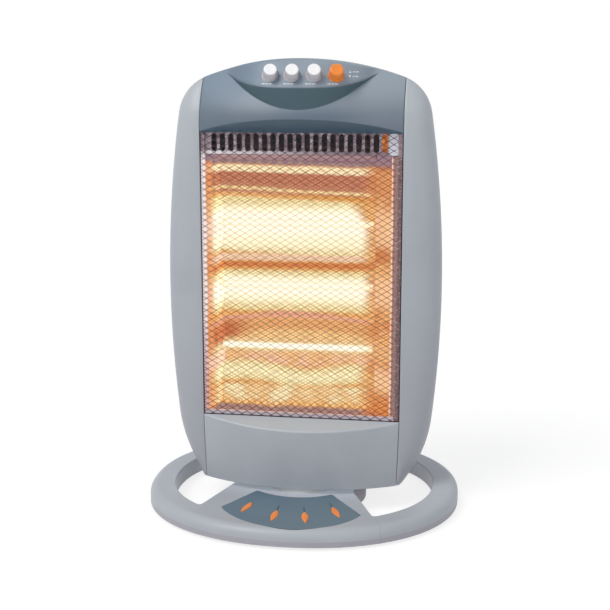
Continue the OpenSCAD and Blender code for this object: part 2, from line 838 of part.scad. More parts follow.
function lower_rows(x) = [
    [[front_edge - 1.3, head_z], [front_edge - 1.3, head_z + shell_t]],
    [[front_y(x, 0) + skirt_t, head_z], [front_y(x, 0) + shell_t + 0.8, head_z + shell_t]],
    [[front_y(x, 0) + skirt_t, skirt_z(x)], [front_y(x, 0) + shell_t + 0.4, head_z + shell_t]],
    [[front_y(x, 0), skirt_z(x)], [front_y(x, 0) + shell_t, head_z + shell_t]],
    [[front_y(x, 0), ledge_z(x)], [front_y(x, 0) + shell_t, ledge_z(x) - 0.7 * shell_t]],
    [[lip_y, window_bottom], [lip_y, window_bottom - 1.1 * shell_t]]];

function ledge_z(x) = window_bottom - 0.2 - ledge_drop * bulge_at(x);

function lower_x(r, u) = u * (seam_at(r < 4 ? head_z : window_bottom) - fit);

module lower_cover() {
    columns = [for (i = [0:front_columns]) 2 * i / front_columns - 1];
    grid = [for (side = [0, 1]) [for (r = [0:5]) [for (u = columns)
        let (x = lower_x(r, u), p = lower_rows(x)[r][side]) [x, p[0], p[1]]]]];
    color(light_grey) difference() {
        slab(grid[0], grid[1]);
        cylinder(r = boss_r + fit, h = boss_top);
    }
}

// ---------------------------------------------------------------- control fascia

cove_rise = 14.5;
cove_power = 2.2;
crescent_rise = 35;
crescent_power = 2.4;
platform_rise = 10.8;
platform_power = 2.8;
pod_power = 3;
platform_slope = tan(button_tilt);
tip_z = platform_z + platform_rise;
pod_back = front_y(platform_half, tip_z) - platform_y - platform_rise * platform_slope;

function cove_z(x) = window_top + 0.5 + cove_rise * (1 - pow(abs(x) / bulge_half, cove_power));

function edge_z(x) =
    min(platform_z + platform_rise * pow(abs(x) / platform_half, platform_power), outline_top(x) - 4);

function root_z(x) =
    min(crescent_z + crescent_rise * pow(abs(x) / platform_half, crescent_power), edge_z(x) - 1);

function platform_at(x, z) =
    platform_y + (z - platform_z) * platform_slope + pod_back * pow(abs(x) / platform_half, pod_power);

function pod_y(x, z) = min(platform_at(x, z), front_y(x, z));

// Rows of the fascia from the foot of the cove to the joint line: outer point, inner offset
function fascia_rows(x) = concat(
    [[[lip_y, window_top], [0, 1.15 * shell_t]],
        [[front_y(x, cove_z(x)), cove_z(x)], [shell_t, 0.6 * shell_t]]],
    [for (i = [1:4]) let (z = between(cove_z(x), root_z(x), i / 4)) [[front_y(x, z), z], [shell_t, 0]]],
    [for (i = [0:2]) let (z = between(edge_z(x), outline_top(x), i / 2))
        [[pod_y(x, z), z], [shell_t, -0.5 * shell_t * i]]],
    [[[front_edge, outline_top(x)], [0, -shell_t]]]);

module platform_frame(x) {
    translate([x, platform_at(x, button_z), button_z]) rotate([90 - button_tilt, 0, 0]) children();
}

module button_at(x) {
    platform_frame(x) rotate([0, button_lean, 0]) children();
}

function button_x(i) = button_row_x + button_pitch * (i - 1.5);

module each_button() {
    for (i = [0:3])
        button_at(button_x(i)) children();
}

bezel_wall = 1.2;
bezel_bore_r = button_d / 2 + 0.2;
bezel_r = bezel_bore_r + bezel_wall;
bezel_out = 2.4;
bank_depth = 15;
bank_h = 14;
stem_r = 3;
stem_l = 22;

module control_fascia() {
    xs = [for (i = [0:front_columns]) (2 * i / front_columns - 1) * (seam_x - fit)];
    rows = [for (x = xs) fascia_rows(x)];
    outer = [for (r = [0:len(rows[0]) - 1]) [for (j = [0:front_columns])
        let (p = rows[j][r][0]) [xs[j], p[0], p[1]]]];
    inner = [for (r = [0:len(rows[0]) - 1]) [for (j = [0:front_columns])
        let (p = rows[j][r][0] + rows[j][r][1]) [xs[j], p[0], p[1]]]];
    color(fascia_grey) difference() {
        slab(outer, inner);
        each_button() translate([0, 0, 1 - bank_depth]) cylinder(r = bezel_r + snug, h = bank_depth + 8);
    }
}

module button_bezels() {
    color(white) difference() {
        each_button() translate([0, 0, -bank_depth - 4]) cylinder(r = bezel_r, h = bank_depth + 4 + bezel_out);
        each_button() translate([0, 0, -bank_depth - 5]) cylinder(r = bezel_bore_r, h = bank_depth + 9);
        bank_block(over);
    }
}

// Switch body behind the platform, in the frame of the platform's middle
module bank_block(extra) {
    left = button_x(0) - bezel_r - 3 - bank_depth * tan(button_lean);
    right = button_x(3) + bezel_r + 3;
    platform_frame(0) translate([left - extra, -bezel_r - 1 - extra, -bank_depth - bank_h])
        cube([right - left + 2 * extra, 2 * bezel_r + 6 + 2 * extra, bank_h]);
}

module switch_bank() {
    color(black) difference() {
        bank_block(0);
        each_button() translate([0, 0, -stem_l - button_travel - 1]) cylinder(r = stem_r + fit, h = stem_l);
    }
}

module push_button(i) {
    button_at(button_x(i)) {
        translate([0, 0, -5]) cylinder(r = button_d / 2, h = button_out + 5 - 1);
        translate([0, 0, -5]) cylinder(r = button_d / 2 - 1, h = button_out + 5);
        translate([0, 0, -stem_l]) cylinder(r = stem_r, h = stem_l - 4);
    }
}

module button_heat_1() {
    color(white) push_button(0);
}

module button_heat_2() {
    color(white) push_button(1);
}

module button_heat_3() {
    color(white) push_button(2);
}

module button_swing() {
    color(orange) push_button(3);
}

// ---------------------------------------------------------------- guard

mesh_front_y = face_y + 0.9;
rim_front_y = mesh_front_y + mesh_t + 0.2;
rim_back_y = rim_front_y + rim_depth;
guard_half = seam_x - 2 * fit;
guard_bottom = window_bottom + fit;
guard_top = window_top + 3;
net_half = guard_half - 1;
net_bottom = guard_bottom + 1;
net_top = guard_top - 1;
cell_w = 2 * net_half / mesh_columns;
cell_h = (net_top - net_bottom) / mesh_rows;
gap_w = cell_w / 2 - strand * 0.6;
gap_h = cell_h / 2 - strand * 0.9;

function diamond(x, z) = [[x - gap_w, z], [x, z - gap_h], [x + gap_w, z], [x, z + gap_h]];

function net_x(i) = -net_half + i * cell_w;

function net_z(j) = net_bottom + j * cell_h;

// Outline first, then every gap: whole diamonds, then half ones along the four edges
function net_paths() = concat(
    [[for (c = [[-1, guard_bottom], [1, guard_bottom], [1, guard_top], [-1, guard_top]])
        [c[0] * guard_half, c[1]]]],
    [for (i = [0:mesh_columns - 1], j = [0:mesh_rows - 1]) diamond(net_x(i + 0.5), net_z(j + 0.5))],
    [for (i = [1:mesh_columns - 1], j = [1:mesh_rows - 1]) diamond(net_x(i), net_z(j))],
    [for (j = [1:mesh_rows - 1], side = [-1, 1]) let (x = side * net_half, z = net_z(j))
        [[x, z - gap_h], [x, z + gap_h], [x - side * gap_w, z]]],
    [for (i = [1:mesh_columns - 1], side = [-1, 1]) let (x = net_x(i), z = side < 0 ? net_bottom : net_top)
        [[x - gap_w, z], [x + gap_w, z], [x, z - side * gap_h]]]);

module guard_mesh() {
    paths = net_paths();
    points = [for (p = paths, q = p) [q[0], q[1]]];
    starts = [for (i = 0, at = 0; i < len(paths); at = at + len(paths[i]), i = i + 1) at];
    numbers = [for (i = [0:len(paths) - 1]) [for (k = [0:len(paths[i]) - 1]) starts[i] + k]];
    color(steel) translate([0, mesh_front_y + mesh_t, 0]) rotate([90, 0, 0])
        linear_extrude(mesh_t) polygon(points, numbers);
}

module guard_rim() {
    top_w = 2;
    h = guard_top - guard_bottom;
    color(steel) difference() {
        centred_box(guard_half, rim_front_y, guard_bottom, rim_depth, h);
        centred_box(guard_half - rim_w, rim_front_y - over, guard_bottom + rim_w, rim_depth + 2 * over,
            h - rim_w - top_w);
    }
}

// ---------------------------------------------------------------- lamp chamber

chamber_y = rim_back_y + 0.1;
wall_top = slot_plate_z - 0.8;
wall_bottom = window_bottom + 1.3;
flat_top = wall_top - 8;
flat_bottom = wall_bottom + 7;
trough_r = (pow(lamp_pitch / 2, 2) + pow(trough_depth, 2)) / (2 * trough_depth);
trough_y = ridge_y + trough_depth - trough_r;
plate_t = 1;
left_splay = 7;
left_bend = 12;
right_splay = 24;
right_bend = 14;

function trough(i, t) =
    let (r = trough_r + t, half = asin(lamp_pitch / 2 / r))
    arc(trough_y, lamp_z + i * lamp_pitch, r, half, -half, 10);

function ridge_at(t) = trough_y + sqrt(pow(trough_r + t, 2) - pow(lamp_pitch / 2, 2));

function reflector_line(t) = concat([[chamber_y, wall_top + t], [ridge_at(t), flat_top + t]],
    trough(1, t), tail(trough(0, t)), tail(trough(-1, t)),
    [[ridge_at(t), flat_bottom - t], [chamber_y, wall_bottom - t]]);

// Extrusion along +X of an outline in depth and height
module along_x(x0, x1) {
    translate([x0, 0, 0]) rotate([90, 0, 90]) linear_extrude(x1 - x0) children();
}

module reflector() {
    near = reflector_line(0);
    far = reflector_line(sheet_t);
    color(steel) along_x(chamber_left + fit, chamber_right - fit)
        polygon(concat(near, [for (i = [len(far) - 1:-1:0]) far[i]]));
}

plate_back_y = trough_y + trough_r + 5;

module end_plate(line, side) {
    back = [for (p = line) [p[0] + side * plate_t, p[1]]];
    color(steel) difference() {
        translate([0, 0, wall_bottom]) linear_extrude(wall_top - wall_bottom)
            polygon(concat(line, [for (i = [len(back) - 1:-1:0]) back[i]]));
        each_lamp() translate([back[2][0] - 3 * plate_t, 0, 0]) rod_x(cap_d / 2 + fit, 6 * plate_t);
    }
}

// Wall that runs straight forward from the back and then splays outward
function splayed(x, splay, bend) =
    [[x + splay, chamber_y], [x, chamber_y + bend], [x, plate_back_y]];

module end_plate_left() {
    end_plate(splayed(chamber_left, -left_splay, left_bend), -1);
}

module end_plate_right() {
    end_plate(splayed(chamber_right, right_splay, right_bend), 1);
}

slot_bottom = slot_plate_z + 2.8;
slot_top = window_top - 1;
slot_row_x = -2.4;

module slot_plate() {
    color(steel) difference() {
        centred_box(guard_half - rim_w + 1, chamber_y, slot_plate_z, plate_t, guard_top - slot_plate_z);
        for (i = [0:slot_count - 1])
            translate([slot_row_x + (i - (slot_count - 1) / 2) * slot_pitch, chamber_y - over, 0]) {
                for (z = [slot_bottom + slot_w / 2, slot_top - slot_w / 2])
                    translate([0, 0, z]) rod_y(slot_w / 2, plate_t + 2 * over);
                translate([-slot_w / 2, 0, slot_bottom + slot_w / 2])
                    cube([slot_w, plate_t + 2 * over, slot_top - slot_bottom - slot_w]);
            }
    }
}

socket_depth = 9;
cap_nose = 3;
left_cap_x = chamber_left + cap_nose - cap_l;
right_cap_x = chamber_right - cap_nose;
tube_start = left_cap_x + cap_l - socket_depth;
tube_end = right_cap_x + socket_depth;
filament_r = 1.3;

module each_lamp() {
    for (i = [-1:1])
        translate([0, lamp_y, lamp_z + i * lamp_pitch]) children();
}

module lamp_tube(i) {
    color(white) translate([tube_start, lamp_y, lamp_z + i * lamp_pitch]) difference() {
        rod_x(tube_d / 2, tube_end - tube_start);
        translate([-over, 0, 0]) rod_x(tube_d / 2 - tube_wall, tube_end - tube_start + 2 * over);
    }
}

module filament(i) {
    color(orange) translate([tube_start, lamp_y, lamp_z + i * lamp_pitch])
        rod_x(filament_r, tube_end - tube_start);
}

module lamp_caps() {
    color(ceramic) each_lamp() difference() {
        union() {
            translate([left_cap_x, 0, 0]) rod_x(cap_d / 2, cap_l);
            translate([right_cap_x, 0, 0]) rod_x(cap_d / 2, cap_l);
        }
        translate([tube_start, 0, 0]) rod_x(tube_d / 2 + snug, tube_end - tube_start);
    }
}

clip_half = cap_d / 2 + 4;
clip_t = 1.2;

module lamp_clips() {
    color(steel) each_lamp() difference() {
        for (x = [chamber_left - plate_t - clip_t, chamber_right + plate_t])
            translate([x, -clip_half, -clip_half]) cube([clip_t, 2 * clip_half, 2 * clip_half]);
        translate([left_cap_x, 0, 0]) rod_x(cap_d / 2 + snug, right_cap_x + cap_l - left_cap_x);
    }
}

module thermal_cutout() {
    size = [22, 7, 16];
    left = 20;
    z = (flat_top + lamp_z + 1.5 * lamp_pitch) / 2;
    color(black) translate([left, ridge_at(sheet_t), z - size[2] / 2]) cube(size);
    color(steel) translate([left + size[0] / 2, ridge_at(sheet_t) + size[1], z]) rod_y(6, 3);
}

base_moulding();
base_panel();
panel_drops();
base_cover();
base_feet();
base_screws();
pivot_post();
post_washer();
post_nut();
bearing_ring();
swing_guide();
tip_switch();
tip_plunger();
cord_inlet();
head_floor();
swing_motor();
motor_screws();
swing_crank();
terminal_block();
rear_shell();
handle_cup();
shell_screws();
left_wing();
right_wing();
lower_cover();
control_fascia();
button_bezels();
switch_bank();
button_heat_1();
button_heat_2();
button_heat_3();
button_swing();
guard_rim();
guard_mesh();
slot_plate();
reflector();
end_plate_left();
end_plate_right();
lamp_tube(1);  // lamp_tube_top
lamp_tube(0);  // lamp_tube_middle
lamp_tube(-1);  // lamp_tube_bottom
filament(1);  // filament_top
filament(0);  // filament_middle
filament(-1);  // filament_bottom
lamp_caps();
lamp_clips();
thermal_cutout();
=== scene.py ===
import itertools
import math

import bmesh
import bpy
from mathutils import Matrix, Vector
from mathutils.geometry import delaunay_2d_cdt


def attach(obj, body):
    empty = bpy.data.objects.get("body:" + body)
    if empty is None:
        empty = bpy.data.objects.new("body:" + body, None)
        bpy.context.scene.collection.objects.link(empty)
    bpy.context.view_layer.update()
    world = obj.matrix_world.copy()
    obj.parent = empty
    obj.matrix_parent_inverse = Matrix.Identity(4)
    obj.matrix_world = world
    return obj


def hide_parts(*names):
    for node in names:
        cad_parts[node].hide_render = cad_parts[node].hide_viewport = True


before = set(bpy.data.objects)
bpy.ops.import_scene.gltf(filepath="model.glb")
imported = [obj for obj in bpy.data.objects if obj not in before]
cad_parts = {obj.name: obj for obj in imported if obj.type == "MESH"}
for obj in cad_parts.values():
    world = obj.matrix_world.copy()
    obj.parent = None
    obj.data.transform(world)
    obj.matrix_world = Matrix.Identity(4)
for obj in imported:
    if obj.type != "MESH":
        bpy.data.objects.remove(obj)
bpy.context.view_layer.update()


# ------------------------ floor, light and camera
# The heater stands on a plain pale floor that runs into a white room. A wide soft key comes
# from the front left, a weaker one from the right, and the room fills the rest.

class Wire:
    """A socket in a material. Arithmetic on wires adds Math nodes; node() adds any other node."""

    def __init__(self, tree, socket=None):
        self.tree, self.socket = tree, socket

    def node(self, kind, settings=None, sockets=None, take=0):
        made = self.tree.nodes.new("ShaderNode" + kind)
        for key, value in (settings or {}).items():
            setattr(made, key, value)
        for key, value in (sockets or {}).items():
            into = next(s for s in made.inputs if key in (s.identifier, s.name))
            if isinstance(value, Wire):
                self.tree.links.new(value.socket, into)
            else:
                into.default_value = value
        return Wire(self.tree, made.outputs[take])

    def math(self, operation, *others):
        sockets = dict(zip(("Value", "Value_001", "Value_002"), (self, *others)))
        return self.node("Math", {"operation": operation}, sockets)

    def __add__(self, other):
        return self.math("ADD", other)

    def __sub__(self, other):
        return self.math("SUBTRACT", other)

    def __rsub__(self, other):
        return self * -1 + other

    def __mul__(self, other):
        return self.math("MULTIPLY", other)

    def __truediv__(self, other):
        return self.math("DIVIDE", other)

    def __rtruediv__(self, other):
        return self.math("POWER", -1.0) * other

    __radd__, __rmul__ = __add__, __mul__

    def either(self, other):
        return self.math("MAXIMUM", other)

    def rise(self, low, high):
        """0 below low, 1 above high and smooth between; falls instead where low is above high."""
        sockets = {"Value": self, "From Min": low, "From Max": high}
        return self.node("MapRange", {"interpolation_type": "SMOOTHSTEP"}, sockets)

    def stripe(self, low, high, soft):
        return self.rise(low - soft, low + soft) * self.rise(high + soft, high - soft)

    def paint(self, under, over):
        """The colour over, laid on the colour under where this wire is 1."""
        sockets = {"Factor_Float": self, "A_Color": under, "B_Color": over}
        return self.node("Mix", {"data_type": "RGBA"}, sockets, 2)


def ink(red, green, blue):
    """A colour written 0 to 255 as it looks, as the linear colour that a shader takes."""
    def linear(v):
        v = v / 255
        return v / 12.92 if v < 0.04045 else ((v + 0.055) / 1.055) ** 2.4
    return linear(red), linear(green), linear(blue), 1.0


def seen_directly(tree):
    """1 for rays from the camera, from a gloss or through glass, and 0 for rays that light."""
    rays = tree.nodes.new("ShaderNodeLightPath")
    seen = Wire(tree, rays.outputs["Is Camera Ray"])
    for ray in ("Is Glossy Ray", "Is Transmission Ray"):
        seen = seen.either(Wire(tree, rays.outputs[ray]))
    return seen


def emptied(holder):
    """The tree of a new world or material, without the nodes that it came with."""
    holder.use_nodes = True
    holder.node_tree.nodes.clear()
    return holder.node_tree


def ended(tree, kind, surface):
    """Links a surface to the output at the end of its tree."""
    tree.links.new(surface, tree.nodes.new("ShaderNode" + kind).inputs["Surface"])


def room():
    world = bpy.data.worlds.new("room")
    tree = emptied(world)
    start = Wire(tree)
    height = start.node("SeparateXYZ", None, {"Vector": start.node("TexCoord")}, 2)
    fill = height.rise(-0.6, 0.9).paint(ink(151, 153, 157), ink(175, 177, 181))
    shown = seen_directly(tree).paint(fill, (1, 1, 1, 1))
    light = start.node("Background", None, {"Color": shown, "Strength": 1.0})
    ended(tree, "OutputWorld", light.socket)
    bpy.context.scene.world = world


def sun(name, azimuth, elevation, strength, spread, colour):
    """Soft far light; azimuth 0 is straight in front and 90 is from the right."""
    lamp = bpy.data.lights.new(name, "SUN")
    lamp.energy, lamp.angle, lamp.color = strength, math.radians(spread), colour
    holder = bpy.data.objects.new(name, lamp)
    a, e = math.radians(azimuth), math.radians(elevation)
    toward = Vector((math.sin(a) * math.cos(e), -math.cos(a) * math.cos(e), math.sin(e)))
    holder.rotation_euler = toward.to_track_quat("Z", "Y").to_euler()
    bpy.context.collection.objects.link(holder)


def floor():
    half = 6.0
    corners = [(x * half, y * half, 0) for x, y in ((-1, -1), (1, -1), (1, 1), (-1, 1))]
    mesh = bpy.data.meshes.new("floor")
    mesh.from_pydata(corners, [], [(0, 1, 2, 3)])
    ground = bpy.data.objects.new("floor", mesh)
    bpy.context.collection.objects.link(ground)
    material = bpy.data.materials.new("floor")
    tree = emptied(material)
    start = Wire(tree)
    matt = start.node("BsdfDiffuse", None, {"Color": (0.9, 0.9, 0.9, 1)})
    white = start.node("Emission", None, {"Color": (1, 1, 1, 1), "Strength": 1.13})
    share = seen_directly(tree) * 0.7
    both = start.node("MixShader", None, {"Fac": share, "Shader": matt, "Shader_001": white})
    ended(tree, "OutputMaterial", both.socket)
    mesh.materials.append(material)


room()
sun("key", -42, 50, 1.6, 30, (1.0, 0.99, 0.97))
sun("fill", 48, 30, 0.25, 40, (0.97, 0.98, 1.0))
floor()

eye, target = Vector((0.20618, -1.29770, 0.48554)), Vector((0.0012, -0.0035, 0.2249))
lens = bpy.data.cameras.new("camera")
lens.lens, lens.sensor_width = 70.78, 36
camera = bpy.data.objects.new("camera", lens)
camera.location = eye
camera.rotation_euler = (eye - target).to_track_quat("Z", "Y").to_euler()
bpy.context.collection.objects.link(camera)
scene = bpy.context.scene
scene.camera = camera
scene.view_settings.view_transform = "Standard"


# ------------------------ base moulding
# One light grey injection moulding: oval ring with a rolled outer edge, a tongue at the front,
# a bridge at the back and the hub that carries the head. It is hollow underneath.

MM = 0.001
BASE_W, BASE_D, RING_W, HUB_R, BRIDGE_X = 350.4, 323.0, 28.5, 71.0, 38.0
BASE_TOP, FOOT_H, WALL = 22.0, 3.5, 3.0
PANEL_SHIFT, PANEL_LEAN = -8, 0.0945
INLET_R, INLET_Z, POST_R = 5.6, 9.9, 7.55


def between(a, b, t):
    return a + (b - a) * t


def steps(low, high, n):
    return [between(low, high, i / n) for i in range(n + 1)]


def turns(start, end, n):
    """Angles in radians from start to end degrees, in n steps."""
    return [math.radians(a) for a in steps(start, end, n)]


def arc(x, y, r, start, end, n):
    return [(x + r * math.cos(a), y + r * math.sin(a)) for a in turns(start, end, n)]


def fuller(v):
    """Makes a sine or cosine fuller, so that the oval is a little squarer than an ellipse."""
    return math.copysign(abs(v) ** (2 / 2.14), v)


def oval(half_w, half_d, n=300, start=0, end=360):
    return [(half_w * fuller(math.cos(a)), half_d * fuller(math.sin(a)))
            for a in turns(start, end, n)][:n if end - start == 360 else n + 1]


def sides(loop):
    """Pairs of neighbours round a closed loop."""
    return zip(loop, loop[1:] + loop[:1])


def even(loop, gap):
    """Closed loop again, with its points about gap apart."""
    total = sum(math.dist(a, b) for a, b in sides(loop))
    n = max(8, round(total / gap))
    found, run, want = [], 0.0, 0.0
    for a, b in sides(loop):
        size = math.dist(a, b)
        while size > 0 and want <= run + size - 1e-9 and len(found) < n:
            t = (want - run) / size
            found.append((between(a[0], b[0], t), between(a[1], b[1], t)))
            want += total / n
        run += size
    return found


def soften(loop, rounds):
    """Rounds the corners of a dense loop."""
    for _ in range(rounds):
        threes = zip(loop[-1:] + loop[:-1], loop, loop[1:] + loop[:1])
        loop = [tuple((a[k] + 2 * b[k] + c[k]) / 4 for k in (0, 1)) for a, b, c in threes]
    return loop


def anticlockwise(loop):
    area = sum(a[0] * b[1] - b[0] * a[1] for a, b in sides(loop))
    return loop if area > 0 else loop[::-1]


def grow(loop, d):
    """An anticlockwise loop moved outward by d."""
    n, found = len(loop), []
    for i, p in enumerate(loop):
        along = Vector(loop[(i + 1) % n]) - Vector(loop[i - 1])
        out = Vector((along.y, -along.x)).normalized()
        found.append((p[0] + out.x * d, p[1] + out.y * d))
    return found


def at_height(loop, z):
    return [(x, y, z) for x, y in loop]


def facing(loop, y):
    """A loop drawn in X and Z, stood up at depth y."""
    return [(x, y, z) for x, z in loop]


def skin(rows, closed=True, caps=(False, False)):
    """Faces through rows of points, with the rows' ends joined where closed."""
    n = len(rows[0])
    points = [p for row in rows for p in row]
    faces = []
    for i in range(len(rows) - 1):
        for j in range(n if closed else n - 1):
            k = (j + 1) % n
            faces.append((i * n + j, i * n + k, (i + 1) * n + k, (i + 1) * n + j))
    if caps[0]:
        faces.append(tuple(range(n))[::-1])
    if caps[1]:
        faces.append(tuple((len(rows) - 1) * n + j for j in range(n)))
    return points, faces


def inside(p, loop):
    hit = False
    for (ax, ay), (bx, by) in sides(loop):
        if (ay > p[1]) != (by > p[1]) and p[0] < (bx - ax) * (p[1] - ay) / (by - ay) + ax:
            hit = not hit
    return hit


def fill(border, holes, stand, level):
    """Flat face in a border, without its holes; stand is at_height or facing."""
    loops = [border] + holes
    flat = [Vector(p) for loop in loops for p in loop]
    edges, first = [], 0
    for loop in loops:
        edges += [(first + i, first + (i + 1) % len(loop)) for i in range(len(loop))]
        first += len(loop)
    found, _, faces, _, _, _ = delaunay_2d_cdt(flat, edges, [], 1, 1e-7)
    boxes = [[(min(v), max(v)) for v in zip(*hole)] for hole in holes]
    kept = []
    for face in faces:
        middle = sum((found[i] for i in face), Vector((0, 0))) / len(face)
        near = [hole for hole, ((x0, x1), (y0, y1)) in zip(holes, boxes)
                if x0 < middle.x < x1 and y0 < middle.y < y1]
        if not any(inside(middle, hole) for hole in near):
            kept.append(tuple(face))
    return stand(found, level), kept


def joined(*parts):
    points, faces = [], []
    for some_points, some_faces in parts:
        faces += [tuple(i + len(points) for i in face) for face in some_faces]
        points += some_points
    return points, faces


def settle(piece, crease=32):
    """Makes a piece's modifiers part of its mesh, and keeps edges sharper than crease degrees."""
    bpy.context.view_layer.update()
    done = bpy.data.meshes.new_from_object(piece.evaluated_get(bpy.context.evaluated_depsgraph_get()))
    old, piece.data = piece.data, done
    piece.modifiers.clear()
    bpy.data.meshes.remove(old)
    done.shade_smooth()
    done.set_sharp_from_angle(angle=math.radians(crease))


def body_of(shape, heart=(0, 0, 0)):
    """Mesh object from points in millimetres, welded and turned to face away from the heart,
    which may lie anywhere where the shape is closed."""
    points, faces = shape
    mesh = bpy.data.meshes.new("piece")
    mesh.from_pydata([tuple(v * MM for v in p) for p in points], [], faces)
    work = bmesh.new()
    work.from_mesh(mesh)
    bmesh.ops.remove_doubles(work, verts=work.verts, dist=2e-6)
    bmesh.ops.dissolve_degenerate(work, edges=work.edges, dist=1e-7)
    bmesh.ops.recalc_face_normals(work, faces=work.faces)
    lean = sum(f.normal.dot(f.calc_center_median() - Vector(heart) * MM) * f.calc_area() for f in work.faces)
    if lean < 0:
        bmesh.ops.reverse_faces(work, faces=work.faces)
    work.to_mesh(mesh)
    work.free()
    piece = bpy.data.objects.new("piece", mesh)
    bpy.context.collection.objects.link(piece)
    return piece


def made(name, shape, heart, wall=0.0, edge=0.0, crease=32):
    """A piece of the heater: a skin, given a wall inward and a small rounding on its sharp edges."""
    piece = body_of(shape, heart)
    piece.name = name
    if wall:
        tool = piece.modifiers.new("wall", "SOLIDIFY")
        tool.thickness, tool.offset = wall * MM, -1
    if edge:
        tool = piece.modifiers.new("edge", "BEVEL")
        tool.width, tool.segments, tool.limit_method = edge * MM, 2, "ANGLE"
        tool.angle_limit = math.radians(50)
    settle(piece, crease)
    return piece


def cut(piece, shape):
    """Takes a closed shape out of a piece."""
    cutter = body_of(shape)
    tool = piece.modifiers.new("cut", "BOOLEAN")
    tool.operation, tool.solver, tool.object = "DIFFERENCE", "EXACT", cutter
    settle(piece)
    bpy.data.objects.remove(cutter)


def place(piece, body, slot, material, *nodes):
    piece.data.materials.clear()
    piece.data.materials.append(material)
    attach(piece, body)
    if nodes:
        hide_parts(*nodes)


def turned(profile, centre, axis, n=48):
    """Lathe work: radius and distance along the axis, turned about it."""
    axis = Vector(axis).normalized()
    side = axis.orthogonal().normalized()
    up = axis.cross(side)
    rows = [[tuple(Vector(centre) + axis * h + (side * math.cos(t) + up * math.sin(t)) * max(r, 1e-4))
             for t in [2 * math.pi * i / n for i in range(n)]] for r, h in profile]
    return skin(rows)


def rod(r, low, high, centre, axis, n=48):
    """A plain round rod from low to high along its axis."""
    return turned([(0, low), (r, low), (r, high), (0, high)], centre, axis, n)


def started(name):
    """A new material with its shader: the material, a wire to start from, and the shader."""
    material = bpy.data.materials.new(name)
    tree = emptied(material)
    shader = tree.nodes.new("ShaderNodeBsdfPrincipled")
    ended(tree, "OutputMaterial", shader.outputs["BSDF"])
    return material, Wire(tree), shader


def wired(shader, **inputs):
    """Sets a shader's sockets; a name's underscores stand for spaces."""
    for key, value in inputs.items():
        socket = shader.inputs[key.replace("_", " ")]
        if isinstance(value, Wire):
            value.tree.links.new(value.socket, socket)
        else:
            socket.default_value = value


def noise(start, size, detail=2.0, stretch=(1, 1, 1)):
    """Noise in the heater's own coordinates, with features about size millimetres."""
    sockets = {"Vector": start.node("TexCoord", take="Object"), "Vector_001": stretch}
    there = start.node("VectorMath", {"operation": "MULTIPLY"}, sockets)
    sockets = {"Vector": there, "Scale": 1 / (size * MM), "Detail": detail}
    return start.node("TexNoise", None, sockets)


def bumped(start, height, depth, strength=0.5):
    return start.node("Bump", None, {"Height": height, "Distance": depth * MM, "Strength": strength})


def spot_of(start):
    """X, Y and Z of the surface point, in millimetres."""
    where = start.node("TexCoord", take="Object")
    split = start.node("SeparateXYZ", None, {"Vector": where}).socket.node
    return [Wire(start.tree, split.outputs[key]) * 1000 for key in "XYZ"]


def turned_to(start, toward):
    """How far the surface is turned to a direction: 1 where it faces it straight."""
    normal = start.node("TexCoord", take="Normal")
    sockets = {"Vector": normal, "Vector_001": toward}
    return start.node("VectorMath", {"operation": "DOT_PRODUCT"}, sockets, "Value")


def toned(colour, share, more=0.0):
    """A colour made darker or lighter by a share of itself."""
    return tuple(min(1, c * share + more) for c in colour[:3]) + (1,)


def layered(under, *layers):
    """Colours laid over the one under them, each where its wire is 1."""
    for mask, over in layers:
        under = mask.paint(under, over)
    return under


def moulded(name, colour, rough, grain=0.7, depth=0.03, painted_light_and_marks=None, thrown=None):
    """Injection moulded plastic: spark-eroded grain, faint flow marks, dust and rubbed edges. The function
    given for painted light and marks lays painted light and shade over its colour from place to place,
    and on the base a fine seam line; thrown gives light that other surfaces throw on it."""
    material, start, shader = started(name)
    tone = noise(start, 60, 3).rise(0.3, 0.7)
    dust = noise(start, 2.5, 5).rise(0.62, 0.8)
    rub = start.node("NewGeometry", take="Pointiness").rise(0.53, 0.6)
    low, high, worn = toned(colour, 0.965), toned(colour, 1.03, 0.004), toned(colour, 1.08, 0.02)
    shade = layered(tone.paint(low, high), (dust * 0.25, low), (rub * 0.5, worn))
    # Painted light and shade, and the base's seam line, go over the colour here.
    if painted_light_and_marks:
        shade = painted_light_and_marks(start, shade)
    grained = bumped(start, noise(start, grain, 2), depth)
    wired(shader, Base_Color=shade, Roughness=rough - 0.05 + tone * 0.08 + dust * 0.06, Normal=grained)
    if thrown:
        wired(shader, Emission_Color=thrown(start), Emission_Strength=1.0)
    return material


def tongue_reach(side, y):
    """How far the tongue reaches to one side of the middle at depth y; it grows to the front."""
    rear_y, rear_half, widens, length, shift, lean = -31, 68, 25.5, 74, -10.7, 0.054
    return rear_half + (rear_y - y) * widens / length + side * (shift - lean * y)


def opening(side):
    """Plan of one open space in the base: along the ring, the bridge, the hub and the tongue."""
    hub_end = math.degrees(math.acos(BRIDGE_X / HUB_R))
    ring = [(x, y) for x, y in oval(BASE_W / 2 - RING_W, BASE_D / 2 - RING_W, 400, -90, 90)
            if x > (tongue_reach(side, y) if y < 0 else BRIDGE_X)]
    hub = [(x, y) for x, y in arc(0, 0, HUB_R, hub_end, -90, 200) if x > tongue_reach(side, y) or y > 0]
    bridge = [(BRIDGE_X, ring[-1][1]), (BRIDGE_X, hub[0][1])]
    tongue = [(tongue_reach(side, y), y) for y in steps(hub[-1][1], ring[0][1], 40)]
    loop = [(side * x, y) for x, y in ring + bridge + hub + tongue]
    return anticlockwise(soften(even(loop, 1.4), 8))


